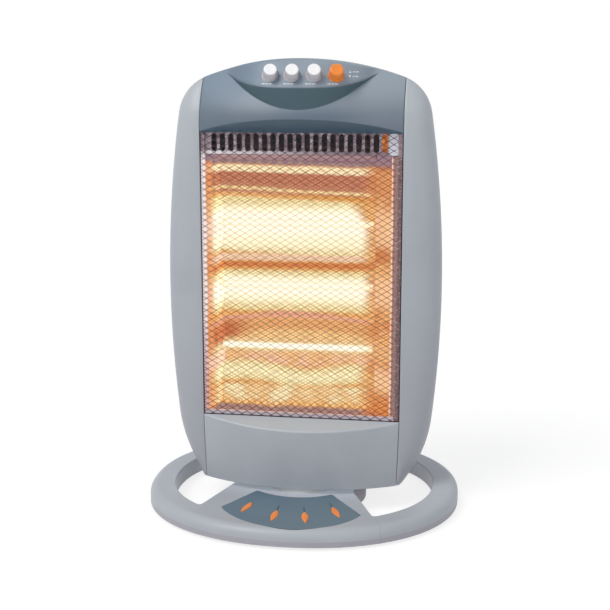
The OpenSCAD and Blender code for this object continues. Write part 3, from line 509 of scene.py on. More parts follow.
def panel_outline():
    """A fan between two arcs, leant over and shifted to the left."""
    front_y, side_y, half, rear_r, rear_turn = -156.0, -106.5, 75.5, 65.4, 39.75
    sagitta = side_y - front_y
    r = (half ** 2 + sagitta ** 2) / (2 * sagitta)
    turn = math.degrees(math.asin(half / r))
    loop = arc(0, front_y + r, r, 270 - turn, 270 + turn, 90)
    loop += arc(0, 0, rear_r, 270 + rear_turn, 270 - rear_turn, 60)
    loop = [(x + PANEL_SHIFT - PANEL_LEAN * y, y) for x, y in loop]
    return anticlockwise(soften(even(loop, 1.2), 2))


def base_moulding():
    """Rolled outside, the two open spaces with small rounded edges, and the flat top between."""
    roll, small, pocket = 10.0, 1.6, 1.6
    def rim(inset):
        return oval(BASE_W / 2 - inset, BASE_D / 2 - inset)
    rows = [at_height(rim(0), FOOT_H)]
    rows += [at_height(rim(roll * (1 - math.cos(b))), BASE_TOP - roll + roll * math.sin(b))
             for b in turns(0, 90, 12)]
    parts = [skin(rows + [at_height(rim(roll + 0.6), BASE_TOP)])]
    holes = []
    for side in (-1, 1):
        plan = opening(side)
        holes.append(grow(plan, small + 0.5))
        rows = [at_height(holes[-1], BASE_TOP)]
        rows += [at_height(grow(plan, small * (1 - math.sin(b))), BASE_TOP - small * (1 - math.cos(b)))
                 for b in turns(0, 90, 6)]
        parts.append(skin(rows + [at_height(plan, FOOT_H)]))
    holes.append(arc(0, 0, POST_R, 0, 360, 48)[:-1])
    parts.append(fill(rim(roll + 0.6), holes, at_height, BASE_TOP))
    piece = made("base_moulding_shell", joined(*parts), (0, 0, -400), WALL)
    seat = grow(panel_outline(), 0.3)
    cut(piece, skin([at_height(seat, BASE_TOP - pocket), at_height(seat, BASE_TOP + 5)], caps=(True, True)))
    cut(piece, rod(INLET_R, -9, 9, (0, BASE_D / 2, INLET_Z), (0, 1, 0)))
    return piece


def base_painted_light_and_seam(start, shade):
    """Painted shade round the foot and the hub, painted light on the inner walls, a seam line by the tongue."""
    x, y, z = spot_of(start)
    upright = turned_to(start, (0, 0, 1)).rise(0.5, 0.2)
    inner = (x * x / 30700 + y * y / 26080).rise(0.9, 0.8)
    hub_side = (x * x + y * y).rise(5400, 5200)
    line = (x + y * 0.3986 - 46.6).stripe(-0.3, 0.3, 0.5) * y.rise(-112, -118) * x.rise(0, 1)
    # Painted shade on the foot band and the hub's wall, painted light on the inner walls; the line is a real seam.
    return layered(
        shade, (z.rise(9.9, 9.1) * upright, ink(164, 162, 170)),
        (upright * inner, x.rise(-60, 60).paint(ink(194, 199, 205), ink(228, 226, 232))),
        (hub_side * upright, ink(170, 163, 172)), (line * 0.4, ink(120, 124, 130)))


UNLIT = (0, 0, 0, 1)


def thrown_on_hub(start):
    """Daylight that the head's pale floor throws down on the hub, wherever the head covers it."""
    _, y, z = spot_of(start)
    open_sky = start.node("AmbientOcclusion", {"samples": 8}, {"Distance": 0.03}, 1)
    return ((1 - open_sky) * y.rise(-5, -20) * z.rise(21.8, 21.95)).paint(UNLIT, ink(126, 132, 139))


base_grey = moulded("base_grey", ink(172, 177, 184), 0.46, painted_light_and_marks=base_painted_light_and_seam, thrown=thrown_on_hub)
place(base_moulding(), "base", "body_plastic", base_grey, "base_moulding")


# ------------------------ panel and drops
# A blue grey fan-shaped plate clipped into a pocket in the tongue. Four orange drops, moulded
# apart, are pressed into it in a row and point at the hub.

PANEL_TOP, PANEL_T, SEAT_DEEP, GROOVE_DEEP = 21.9, 1.5, 0.7, 0.9
DROPS = [(-48.5, -104.0), (-16.5, -123.5), (16.5, -123.5), (48.5, -104.0)]
DROP_L, DROP_W, DROP_CROWN, DROP_AIM = 32.0, 7.4, 0.85, 165


def drop_outline(extra):
    """Leaf, widest nearer to the hub, with its middle at the origin."""
    side = [((DROP_W / 2 + extra) * math.sin(math.pi * t ** 1.25) ** 0.8, (t - 0.5) * (DROP_L + 2 * extra))
            for t in steps(0, 1, 36)]
    return side + [(-x, y) for x, y in side[-2:0:-1]]


def drop_place(middle):
    """Puts a point of a drop's own plan into the panel, turned to the place that the drops aim at."""
    angle = math.atan(middle[0] / DROP_AIM) + math.atan(PANEL_LEAN)
    x0, y0 = middle[0] + PANEL_SHIFT - PANEL_LEAN * middle[1], middle[1]
    c, s = math.cos(angle), math.sin(angle)
    return lambda x, y: (x0 + x * c - y * s, y0 + x * s + y * c)


def base_panel():
    """The plate with its rounded edge, a seat for each drop and a short groove above three of them."""
    outline, edge = panel_outline(), 0.5
    flat = grow(outline, -edge - 0.4)
    rows = [at_height(outline, PANEL_TOP - PANEL_T)]
    rows += [at_height(grow(outline, -edge * (1 - math.cos(b))), PANEL_TOP - edge + edge * math.sin(b))
             for b in turns(0, 90, 4)]
    parts = [skin(rows + [at_height(flat, PANEL_TOP)]), fill(outline, [], at_height, PANEL_TOP - PANEL_T)]
    groove = [(x, DROP_L / 2 + y) for x, y in ((-0.6, 0.6), (0.6, 0.6), (0.35, 14), (-0.35, 14))]
    pockets = [(middle, drop_outline(0.15), SEAT_DEEP) for middle in DROPS]
    pockets += [(middle, groove, GROOVE_DEEP) for middle in DROPS[1:]]
    holes = []
    for middle, line, deep in pockets:
        hole = anticlockwise(list(itertools.starmap(drop_place(middle), line)))
        holes.append(hole)
        parts.append(skin([at_height(hole, PANEL_TOP), at_height(hole, PANEL_TOP - deep)]))
        parts.append(fill(hole, [], at_height, PANEL_TOP - deep))
    parts.append(fill(flat, holes, at_height, PANEL_TOP))
    return made("base_panel_plate", joined(*parts), (0, -110, -400))


def panel_drops():
    """Drops that stand a little above the panel and are crowned over a spine."""
    def ring(put, pull, z):
        found = []
        for x, y in drop_outline(0):
            spine = min(max(y, 5 - DROP_L / 2), DROP_L / 2 - 4)
            found.append((*put(between(0, x, pull), between(spine, y, pull)), z))
        return found
    parts, foot = [], PANEL_TOP + 0.05
    for put in map(drop_place, DROPS):
        rows = [ring(put, 1, PANEL_TOP - SEAT_DEEP), ring(put, 1, foot)]
        rows += [ring(put, math.cos(a), foot + DROP_CROWN * math.sin(a))
                 for a in map(math.radians, (15, 30, 45, 60, 75, 84, 90))]
        parts.append(skin(rows, caps=(True, False)))
    return made("orange_drops", joined(*parts), (0, -110, -400))


def panel_painted_shade_and_light(start, shade):
    """Painted shade in the seats and grooves, and painted light towards the right."""
    x, _, z = spot_of(start)
    # Painted shade below the panel's top, painted light to the right.
    return layered(shade, (z.rise(PANEL_TOP - 0.1, PANEL_TOP - 0.3), ink(52, 66, 80)),
                   (x.rise(-70, 60) * 0.7, ink(104, 124, 135)))


panel_blue = moulded("panel_blue", ink(92, 116, 132), 0.38, painted_light_and_marks=panel_painted_shade_and_light)
orange_gloss = moulded("orange_gloss", ink(250, 143, 52), 0.26, depth=0.01)
place(base_panel(), "base", "panel_plastic", panel_blue, "base_panel")
place(panel_drops(), "base", "orange_plastic", orange_gloss, "panel_drops")


# ------------------------ under the base
# A black cover closes the hub from below, held by four screws beside the tip-over plunger.
# Rubber feet are pushed into the ring, and the cord inlet grommet sits in the back wall.

def dressed(material, slot, *nodes):
    """Gives CAD solids whose shape is right a better material."""
    for node in nodes:
        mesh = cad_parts[node].data
        mesh.materials.clear()
        mesh.materials.append(material)


def machined(name, colour, rough, grain=0.5, stretch=(1, 1, 1)):
    """Bright metal with drawing lines, stains and duller patches."""
    material, start, shader = started(name)
    lines = noise(start, grain, 4, stretch)
    stain = noise(start, 14, 3).rise(0.4, 0.75)
    wired(shader, Base_Color=(stain * 0.5 + lines * 0.15).paint(colour, toned(colour, 0.8)), Metallic=1.0,
          Roughness=rough + stain * 0.1 + lines * 0.06, Normal=bumped(start, lines, 0.01, 0.3))
    return material


black_nylon = moulded("black_nylon", ink(38, 39, 42), 0.5, depth=0.04)
foot_rubber = moulded("foot_rubber", ink(28, 28, 29), 0.82, 1.1, 0.08)
zinc_steel = machined("zinc_steel", ink(196, 198, 202), 0.32)
turned_steel = machined("turned_steel", ink(188, 190, 194), 0.24, 0.3, (1, 1, 9))
white_acetal = moulded("white_acetal", ink(226, 226, 222), 0.34, depth=0.01)
dressed(black_nylon, "black_plastic", "base_cover", "tip_switch", "cord_inlet")
dressed(foot_rubber, "foot_rubber", "base_feet")
dressed(zinc_steel, "steel", "base_screws", "swing_guide", "post_washer", "post_nut")
dressed(turned_steel, "steel", "pivot_post")
dressed(white_acetal, "white_plastic", "bearing_ring", "tip_plunger")


# ------------------------ swing drive
# The head's floor carries the pivot boss and a geared motor. The motor turns a steel crank
# whose pin runs in the slot of the guide plate on the hub, and so swings the head.

def head_painted_light_and_shade(start, shade):
    """Painted light, a little greener, towards the top, and painted shade towards the foot."""
    z = spot_of(start)[2]
    # Painted light towards the top, painted shade towards the foot.
    return layered(shade, (z.rise(250, 440) * 0.8, ink(181, 188, 193)),
                   (z.rise(250, 110) * 0.8, ink(165, 166, 173)))


body_grey = moulded("body_grey", ink(172, 177, 184), 0.46, painted_light_and_marks=head_painted_light_and_shade)
motor_can = machined("motor_can", ink(176, 178, 176), 0.36, 0.8, (1, 1, 0.15))
dressed(body_grey, "body_plastic", "head_floor")
dressed(motor_can, "steel", "swing_motor")
dressed(zinc_steel, "steel", "motor_screws", "swing_crank")
dressed(white_acetal, "white_plastic", "terminal_block")


# ------------------------ rear shell
# The back half of the head, light grey, drawn in towards the back like a cushion. Two columns
# of vent slots are moulded through it, and six screws in wells hold it to the front.

HEAD_Z, SPLIT_Y, SHELL_T, FIT = 29.0, -3.0, 2.5, 0.3
CROWN = (0.0, 494.199 - 312.7, 312.7)
SIDE = (152.3 - 1275, 246.9, 1275.0)
HEEL_Z, HEEL_R = 115.6, 140.0
HEEL_X = SIDE[0] + math.sqrt((SIDE[2] - HEEL_R) ** 2 - (HEEL_Z - SIDE[1]) ** 2)
CORNER_R = 47.4
BACK_Y, NARROWER, LOWER, SHRINK_Z = 58.0, 0.26, 0.07, 60
VENTS, VENT_LOW, VENT_STEP, VENT_X, VENT_HALF, VENT_R = 15, 140, 15.0, 46.0, 28.5, 2.5
SCREW_WELLS, WELL_R = ((92, 120), (92, 245), (88, 385)), 4.3
CUP_Z, CUP_HALF_W, CUP_HALF_H = 420, 58.0, 18.0


def tangent_corner():
    """Centre of the upper corner arc, which touches the side arc and the crown arc."""
    gap = math.hypot(SIDE[0], CROWN[1] - SIDE[1])
    from_side, from_crown = SIDE[2] - CORNER_R, CROWN[2] - CORNER_R
    along = (from_side ** 2 - from_crown ** 2 + gap ** 2) / (2 * gap)
    up = math.sqrt(from_side ** 2 - along ** 2)
    way = (-SIDE[0] / gap, (CROWN[1] - SIDE[1]) / gap)
    return SIDE[0] + along * way[0] - up * way[1], SIDE[1] + along * way[1] + up * way[0]


CORNER_X, CORNER_Z = tangent_corner()
HEEL_START = math.degrees(math.asin((HEAD_Z - HEEL_Z) / HEEL_R))
HEEL_END = math.degrees(math.atan2(HEEL_Z - SIDE[1], HEEL_X - SIDE[0]))
SIDE_END = math.degrees(math.atan2(CORNER_Z - SIDE[1], CORNER_X - SIDE[0]))
CORNER_END = math.degrees(math.atan2(CORNER_Z - CROWN[1], CORNER_X))


def flank(corner_to):
    """Right-hand outline of the head from its foot up to an angle on the upper corner."""
    return (arc(HEEL_X, HEEL_Z, HEEL_R, HEEL_START, HEEL_END, 14)[:-1]
            + arc(*SIDE, HEEL_END, SIDE_END, 20)[:-1] + arc(CORNER_X, CORNER_Z, CORNER_R, SIDE_END, corner_to, 16))


def outline_top(x):
    """Height of the head's outline over x, on the crown or on the upper corner."""
    x = abs(x)
    if x < CROWN[2] * math.cos(math.radians(CORNER_END)):
        return CROWN[1] + math.sqrt(CROWN[2] ** 2 - x ** 2)
    return CORNER_Z + math.sqrt(max(0, CORNER_R ** 2 - (x - CORNER_X) ** 2))


def rear_shell():
    """Shell that shrinks as it goes back, with vents, screw wells and the opening of the cup."""
    right = flank(CORNER_END) + arc(*CROWN, CORNER_END, 90, 24)[1:]
    foot = [(x, HEAD_Z) for x in steps(-right[0][0], right[0][0], 30)][1:-1]
    loop = foot + right + [(-x, z) for x, z in right[::-1][1:]]
    def ring(a):
        k = 1 - math.cos(a)
        return [(x * (1 - NARROWER * k), SHRINK_Z + (z - SHRINK_Z) * (1 - LOWER * k)) for x, z in loop]
    rows = [facing(ring(a), SPLIT_Y + (BACK_Y - SPLIT_Y) * math.sin(a)) for a in turns(0, 90, 22)]
    holes = []
    for i, side in itertools.product(range(VENTS), (-1, 1)):
        x, z = side * VENT_X, VENT_LOW + VENT_STEP * i
        holes.append(arc(x + VENT_HALF, z, VENT_R, -90, 90, 8) + arc(x - VENT_HALF, z, VENT_R, 90, 270, 8))
    half_w, half_h = CUP_HALF_W + FIT, CUP_HALF_H + FIT
    holes.append([(x * half_w, CUP_Z + z * half_h) for x, z in ((-1, -1), (1, -1), (1, 1), (-1, 1))])
    holes += [arc(side * x, z, WELL_R, 0, 360, 24)[:-1] for x, z in SCREW_WELLS for side in (-1, 1)]
    back = fill(ring(math.pi / 2), holes, facing, BACK_Y)
    piece = made("rear_shell_moulding", joined(skin(rows), back), (0, -20, 250), SHELL_T, 0.35)
    floor_gap = ((-100.3, -14), (100.3, -14), (100.3, 46.3), (-100.3, 46.3))
    cut(piece, skin([at_height(floor_gap, z) for z in (20, 34)], caps=(True, True)))
    return piece


def rounded_box(half_w, low, high, r, n=6):
    """Outline of a rounded rectangle in X and Z, centred on X."""
    corners = ((half_w - r, low + r), (half_w - r, high - r), (r - half_w, high - r), (r - half_w, low + r))
    return [p for i, (x, z) in enumerate(corners) for p in arc(x, z, r, 90 * i - 90, 90 * i, n)]


def handle_cup():
    """Lip and pocket, and the wall outside them: rings by how far they are drawn in, corner and depth."""
    def rings(*rows):
        made_rows = []
        for inset, r, y in rows:
            half_h = CUP_HALF_H - inset
            made_rows.append(facing(rounded_box(CUP_HALF_W - inset, CUP_Z - half_h, CUP_Z + half_h, r), y))
        return skin(made_rows, caps=(False, True))
    pocket = rings((0, 3, 58), (-3, 4, 58), (-3, 4, 58.9), (-2.4, 4, 59.5), (0.8, 3, 59.5), (2, 3, 58.6),
                   (2, 3, 38), (4, 3, 34), (8, 3, 34))
    outside = rings((0, 3, 58), (0, 3, 32), (8, 3, 32))
    return made("carrying_recess", joined(pocket, outside), (0, 45, CUP_Z), crease=40)


place(rear_shell(), "head", "body_plastic", body_grey, "rear_shell")
recess_grey = moulded("recess_grey", ink(120, 135, 148), 0.5)
place(handle_cup(), "head", "fascia_plastic", recess_grey, "handle_cup")
dressed(zinc_steel, "steel", "shell_screws")


# ------------------------ wings
# Two light grey side mouldings that curve from the joint line forward to the seams beside the
# window. They clip to the rear shell, and their front edges meet the fascia and the cover.

SEAM_X, SEAM_DRAWN_IN, FACE_Y, BULGE, BULGE_HALF = 110.0, 2.3, -29.5, 25.0, 111
LEAN_Z, LEAN_H, LEAN_DEEP = 425, 48, 23
FRONT_EDGE = SPLIT_Y - FIT
WINDOW_LOW, WINDOW_HIGH = 101.7, 416.2


def bulge_at(x):
    """How far the front bulges at x: 1 in the middle and about 0 at the seams."""
    return 1 - (x / BULGE_HALF) ** 2


def front_y(x, z):
    """The bulging front, which leans back above the window."""
    lean_back = 0 if z < LEAN_Z else LEAN_DEEP * ((z - LEAN_Z) / LEAN_H) ** 1.6
    return FACE_Y + lean_back - BULGE * bulge_at(x)


def seam_at(z):
    return SEAM_X - SEAM_DRAWN_IN * max(0, WINDOW_LOW - z) / (WINDOW_LOW - HEAD_Z)


def wing(side):
    tip = math.degrees(math.acos((SEAM_X + FIT + 1.5 - CORNER_X) / CORNER_R))
    rows = []
    for x, z in flank(tip):
        seam = seam_at(z) + FIT
        deep = FRONT_EDGE - front_y(SEAM_X, z)
        rows.append([(side * (seam + (x - seam) * math.sin(a)), FRONT_EDGE - deep * math.cos(a), z)
                     for a in turns(0, 90, 18)])
    return skin(rows, closed=False)


for side, hand in ((-1, "left"), (1, "right")):
    piece = made(f"{hand}_wing_moulding", wing(side), (0, 0, 250), SHELL_T, 0.4)
    place(piece, "head", "body_plastic", body_grey, f"{hand}_wing")


# ------------------------ lower cover
# Light grey moulding under the window. It bulges forward, its top is a ledge that drops towards
# the front, and a flange at its foot goes back to the head's floor.

BOSS_HOLE_R = 13.3


def eased(profile, radii, n=4):
    """A line of points with its corners rounded, the same number of points for any radii."""
    found = [profile[0]]
    for before, corner, after, r in zip(profile, profile[1:], profile[2:], radii):
        p, a, b = Vector(corner), Vector(before), Vector(after)
        start = p + (a - p) * min(r / max((a - p).length, 1e-6), 0.45)
        end = p + (b - p) * min(r / max((b - p).length, 1e-6), 0.45)
        found += [tuple(start * (1 - t) ** 2 + p * 2 * t * (1 - t) + end * t ** 2) for t in steps(0, 1, n)]
    return found + [profile[-1]]


def lower_cover():
    """Columns from seam to seam: a hanging foot, the face, the ledge, and back inside to the flange."""
    t, skirt_t, skirt_drop, ledge_drop, flange_y = SHELL_T, 1.8, 2.1, 8, FRONT_EDGE - 1.3
    columns = []
    for u in steps(-1, 1, 90):
        x_low, x_high = u * (seam_at(HEAD_Z) - FIT), u * (seam_at(WINDOW_LOW) - FIT)
        face, ledge = front_y(x_high, 0), WINDOW_LOW - 0.2 - ledge_drop * bulge_at(x_high)
        skirt = HEAD_Z - skirt_drop * math.sqrt(bulge_at(x_low))
        line = eased([(face + skirt_t, HEAD_Z), (face + skirt_t, skirt), (face, skirt), (face, ledge),
                      (FACE_Y + 0.5, WINDOW_LOW)], (0.5, 0.9, 2.2))
        line += [(FACE_Y + 0.5, WINDOW_LOW - 1.1 * t), (face + t, ledge - 0.7 * t), (face + t, HEAD_Z + t),
                 (flange_y, HEAD_Z + t), (flange_y, HEAD_Z)]
        up = [min(1, max(0, (z - HEAD_Z) / (ledge - HEAD_Z))) for _, z in line]
        columns.append([(between(x_low, x_high, share), y, z) for share, (y, z) in zip(up, line)])
    piece = made("lower_cover_moulding", skin(columns, caps=(True, True)), (0, -20, 60))
    cut(piece, rod(BOSS_HOLE_R, -5, 15, (0, 0, HEAD_Z), (0, 0, 1)))
    return piece


def cover_painted_light(start, shade):
    """Painted light on the ledge, which faces up."""
    # Painted light on faces turned up.
    return turned_to(start, (0, 0, 1)).rise(0.25, 0.6).paint(shade, ink(180, 188, 195))


cover_grey = moulded("cover_grey", ink(172, 177, 184), 0.46, painted_light_and_marks=cover_painted_light)
place(lower_cover(), "head", "body_plastic", cover_grey, "lower_cover")


# ------------------------ control fascia
# Blue grey moulding over the window: a cove above the window in painted shade, a bulging band, and
# a lipped platform whose underside is a crescent of painted shade. Round collars carry the push buttons.

TILT = math.radians(32)
PLATFORM_Z, PLATFORM_Y, PLATFORM_HALF, TIP_UP = 463.5, -53.0, 78, 10.8
COVE_H, EDGE_RISE, ROOT_Z, ROOT_RISE = 14.5, 13.4, 441, 36
POD_BACK = front_y(PLATFORM_HALF, PLATFORM_Z + TIP_UP) - PLATFORM_Y - TIP_UP * math.tan(TILT)
BUTTON_Z, COLLAR_HOLE_R = 476.6, 8.65
BUTTON_X = [5.2 + 23.1 * (i - 1.5) for i in range(4)]
LEAN = math.radians(10)
BUTTON_AXIS = (math.sin(LEAN), -math.cos(TILT) * math.cos(LEAN), math.sin(TILT) * math.cos(LEAN))


def cove_z(x):
    """The cove's upper line, which falls to the seams."""
    return WINDOW_HIGH + 0.5 + COVE_H * (1 - (abs(x) / BULGE_HALF) ** 2.2)


def edge_z(x):
    """The platform's front edge, which rises to its tips."""
    return min(PLATFORM_Z + EDGE_RISE * (abs(x) / PLATFORM_HALF) ** 3.6, outline_top(x) - 4)


def root_z(x):
    """The line where the crescent under the platform starts."""
    return min(ROOT_Z + ROOT_RISE * (abs(x) / PLATFORM_HALF) ** 2.0, edge_z(x) - 1)


def platform_at(x, z):
    return PLATFORM_Y + (z - PLATFORM_Z) * math.tan(TILT) + POD_BACK * (abs(x) / PLATFORM_HALF) ** 3


def pod_y(x, z):
    """The platform where it stands out and the bulge elsewhere, run together over 4 mm."""
    platform, bulge = platform_at(x, z), front_y(x, z)
    return min(platform, bulge) - max(0, 1 - abs(platform - bulge) / 4) ** 2


def button_base(x):
    return x, platform_at(x, BUTTON_Z), BUTTON_Z


def control_fascia():
    """Columns from the window up: the cove, the band, the crescent, the platform and the top."""
    columns = []
    for u in steps(-1, 1, 120):
        x = u * (SEAM_X - FIT)
        top, edge, root, cove = outline_top(x), edge_z(x), root_z(x), cove_z(x)
        band = [(front_y(x, z), z) for z in steps(cove, root, 18)]
        profile = [(FACE_Y + 0.5, WINDOW_HIGH)] + band
        profile += [(pod_y(x, edge), edge)] + [(pod_y(x, z), z) for z in steps(edge, top, 4)[1:]]
        profile += [(between(pod_y(x, top), FRONT_EDGE, 0.5), top), (FRONT_EDGE, top)]
        radii = [1.6] + [1] * 17 + [1.2, 2.0] + [1] * 3 + [2.4, 1]
        columns.append([(x, y, z) for y, z in eased(profile, radii)])
    rows = [list(row) for row in zip(*columns)]
    piece = made("control_fascia_moulding", skin(rows, closed=False), (0, 30, 440), SHELL_T, 0.3)
    for x in BUTTON_X:
        cut(piece, rod(COLLAR_HOLE_R, -16, 8, button_base(x), BUTTON_AXIS))
    return piece


def collar(x):
    profile = [(7.4, -15), (7.4, 2.0), (7.5, 2.3), (7.7, 2.4), (7.9, 2.35), (8.1, 2.1), (8.25, 1.2),
               (8.6, 0.2), (8.6, -15), (7.4, -15)]
    return turned(profile, button_base(x), BUTTON_AXIS, 64)


def fascia_painted_light_and_shade(start, shade):
    """Painted shade in the cove and the band's middle, painted light to the right and on faces turned up."""
    x, _, z = spot_of(start)
    up = turned_to(start, (0, 0, 1))
    # Painted light to the right and on faces turned up, painted shade in the cove and the band's middle.
    return layered(
        shade, (x.rise(20, 90) * 0.9, ink(116, 127, 140)),
        (x.stripe(-35, 40, 40) * z.rise(462, 444) * 0.8, ink(88, 104, 119)),
        (up.rise(-0.12, -0.42), ink(74, 100, 119)),
        (up.rise(0.25, 0.6), x.rise(-70, 75).paint(ink(117, 135, 152), ink(151, 163, 173))))


fascia_blue = moulded("fascia_blue", ink(100, 114, 127), 0.42, painted_light_and_marks=fascia_painted_light_and_shade)
crescent_painted_shade = moulded("crescent_painted_shade", ink(65, 90, 100), 0.5)
collar_white = moulded("collar_white", ink(208, 205, 210), 0.3, depth=0.008)
fascia = control_fascia()
place(fascia, "head", "fascia_plastic", fascia_blue, "control_fascia")
fascia.data.materials.append(crescent_painted_shade)
# The faces under the platform's lip get the dark painted shade.
for face in fascia.data.polygons:
    x, _, z = face.center / MM
    face.material_index = int(root_z(x) + 0.3 < z < edge_z(x) - 0.3 and abs(x) < PLATFORM_HALF + 1)
white_collars = made("white_collars", joined(*map(collar, BUTTON_X[:3])), (0, -30, 470))
place(white_collars, "head", "white_plastic", collar_white, "button_bezels")
orange_collar = made("orange_collar", collar(BUTTON_X[3]), button_base(BUTTON_X[3]))
place(orange_collar, "head", "orange_plastic", orange_gloss)
dressed(black_nylon, "black_plastic", "switch_bank")


def marks():
    """Short printed dashes below each button, and two arrows with dashes at the right."""
    def pad(*outline):
        rows = [[(x, platform_at(x, z) - lift, z) for x, z in outline] for lift in (-0.1, 0.08)]
        return skin(rows, caps=(True, True))
    def dash(x, z, w, h):
        return pad((x, z), (x + w, z), (x + w, z + h), (x, z + h))
    parts = [dash(x - 8 + step, BUTTON_Z - 9.2, w, 0.9)
             for x in BUTTON_X for step, w in ((0, 3.2), (4.1, 2.2), (7.2, 3.6))]
    x = BUTTON_X[3] + 12.5
    for z, up in ((BUTTON_Z + 3.4, 1), (BUTTON_Z - 1.2, -1)):
        parts.append(pad((x, z - up * 1.1), (x + 2.6, z - up * 1.1), (x + 1.3, z + up * 1.2)))
        parts += [dash(x + 4 + step, z - 0.5, w, 1.0) for step, w in ((0, 1.8), (2.6, 3.0))]
    return made("printed_marks", joined(*parts), (0, 0, 470))


place(marks(), "head", "white_plastic", moulded("mark_white", ink(214, 220, 227), 0.5, depth=0.005))


# ------------------------ push buttons
# Four round caps with slightly dished faces on stems that work the switches below: three white
# ones for the lamps and one orange one for the swing. Each slides in its collar.

def push_button(name, x):
    """Stem, skirt, rounded rim and dished face, turned in one piece."""
    r, out, rim = 7.2, 12.0, 1.6
    profile = [(0, -22), (2.6, -22), (3, -21.6), (3, -5), (r - 0.3, -5), (r, -4.7), (r, out - rim)]
    profile += [(r - rim + rim * math.cos(b), out - rim + rim * math.sin(b)) for b in turns(0, 90, 6)[1:]]
    profile += [(4.4, out - 0.12), (3, out - 0.32), (1.5, out - 0.45), (0, out - 0.5)]
    centre = button_base(x)
    return made(name, turned(profile, centre, BUTTON_AXIS, 64), tuple(Vector(centre) + Vector(BUTTON_AXIS) * 3))


def cap_painted_light(start, shade):
    """Painted light: white on the face."""
    # Painted light on the face turned along the button's axis.
    return turned_to(start, BUTTON_AXIS).rise(0.78, 0.93).paint(shade, ink(255, 255, 255))


button_white = moulded("button_white", ink(214, 209, 213), 0.24, depth=0.008, painted_light_and_marks=cap_painted_light)
for number in (1, 2, 3):
    cap = push_button(f"heat_button_cap_{number}", BUTTON_X[number - 1])
    place(cap, f"heat_button_{number}", "button_plastic", button_white, f"button_heat_{number}")
place(push_button("swing_button_cap", BUTTON_X[3]), "swing_button", "orange_plastic", orange_gloss, "button_swing")


# ------------------------ lamp chamber
# A polished sheet bent into three troughs, each behind a quartz lamp, with bent end plates and
# a slotted plate above. Lit, it glows from white through yellow to deep orange between lamps.

LAMPS = {"top": 315.0, "middle": 245.0, "bottom": 175.0}
TROUGH_HALF, TROUGH_R, TROUGH_Y = 35.0, 38.84, -8.84
CORE, CREAM, BUTTER = ink(255, 251, 234), ink(253, 245, 210), ink(251, 229, 168)
AMBER, EMBER, RUST = ink(240, 180, 106), ink(220, 131, 72), ink(196, 125, 95)
ROSE, MAUVE, DUSK = ink(244, 205, 172), ink(144, 114, 123), ink(153, 121, 119)


def blue_of(light):
    """The blue in a warm colour, which is high in cream and low in orange."""
    return light.node("SeparateColor", None, {"Color": light}, 2)


def glow(start, aside=0.0, lower=0.0):
    """Painted colour of the lit chamber over its width and height, at a place set off to the left and down:
    bands of lamp light on the sheet, an orange right end, and the shadow of the net over it all."""
    x, _, z = spot_of(start)
    x, z = x - aside, z - lower
    patch = noise(start, 26, 2)
    h = z + (patch - 0.5) * 3
    sloping, level = h + (x + 40) * 0.045, h + (x + 40) * 0.022
    bowed, lobed = h + (x + 10) * (x + 10) * 0.0011, h + (x * 0.045).math("COSINE") * 3.5
    right = x + (h - 300).either(0.0) * 0.55
    top = level.rise(379, 381.5)
    light = layered(
        sloping.rise(343, 349).paint(AMBER, RUST),
        (sloping.stripe(343, 348, 2) * x.rise(-80, 40), ink(226, 158, 78)),
        (sloping.stripe(350, 353.6, 1.8), ink(252, 222, 160)),
        (level.stripe(370.6, 378.6, 1.6), ink(255, 234, 188)),
        (top, MAUVE),
        (sloping.stripe(280, 341, 2) * right.rise(84, 60),
         h.stripe(284, 332, 7).paint(BUTTER, h.stripe(300, 324, 8).paint(CREAM, CORE))),
        (h.stripe(270, 279.5, 2.2) * x.rise(78, 58), ROSE),
        (h.stripe(261.5, 268.5, 2.4), EMBER),
        (h.stripe(214, 258, 2.2) * x.rise(80, 62),
         h.stripe(221, 252, 6).paint(BUTTER, h.stripe(230, 246, 6).paint(CREAM, CORE))),
        (bowed.stripe(206, 213.5, 2.2), ink(232, 168, 140)),
        (bowed.stripe(190, 206, 3), ink(238, 176, 116)),
        (bowed.stripe(176, 190, 4), ink(253, 208, 144)),
        (bowed.stripe(184, 206, 6) * x.rise(-60, -92), ink(206, 120, 76)),
        (h.stripe(162, 176, 4), ink(250, 222, 172)),
        (h.stripe(149, 162, 4), patch.rise(0.42, 0.58).paint(ink(250, 194, 134), ink(250, 200, 160))),
        (lobed.stripe(131, 150, 3) * x.rise(76, 54),
         lobed.stripe(136, 146, 4).paint(BUTTER, ink(252, 240, 190))),
        (h.stripe(110, 129, 3), patch.rise(0.4, 0.62).paint(ink(250, 206, 144), ink(255, 236, 186))),
        (h.rise(108.5, 106.5), DUSK))
    orange = patch.rise(0.4, 0.6).paint(ink(220, 142, 84), ink(244, 184, 120))
    orange = (z.rise(134, 116) * 0.8).paint(orange, ink(224, 130, 60))
    light = (x.rise(58, 80) * 0.9).paint(light, top.paint(orange, MAUVE))
    # Painted shadow of the net, laid over the glow where it is orange.
    net_shadow_lines = ((z + x * 0.5) * 1.75).math("SINE").either(((z - x * 0.5) * 1.75).math("SINE"))
    net_shadow_colour = top.paint(ink(122, 54, 32), ink(92, 64, 74))
    return (net_shadow_lines.rise(0.5, 1.05) * blue_of(light).rise(0.72, 0.4) * 0.6).paint(light, net_shadow_colour), x, z


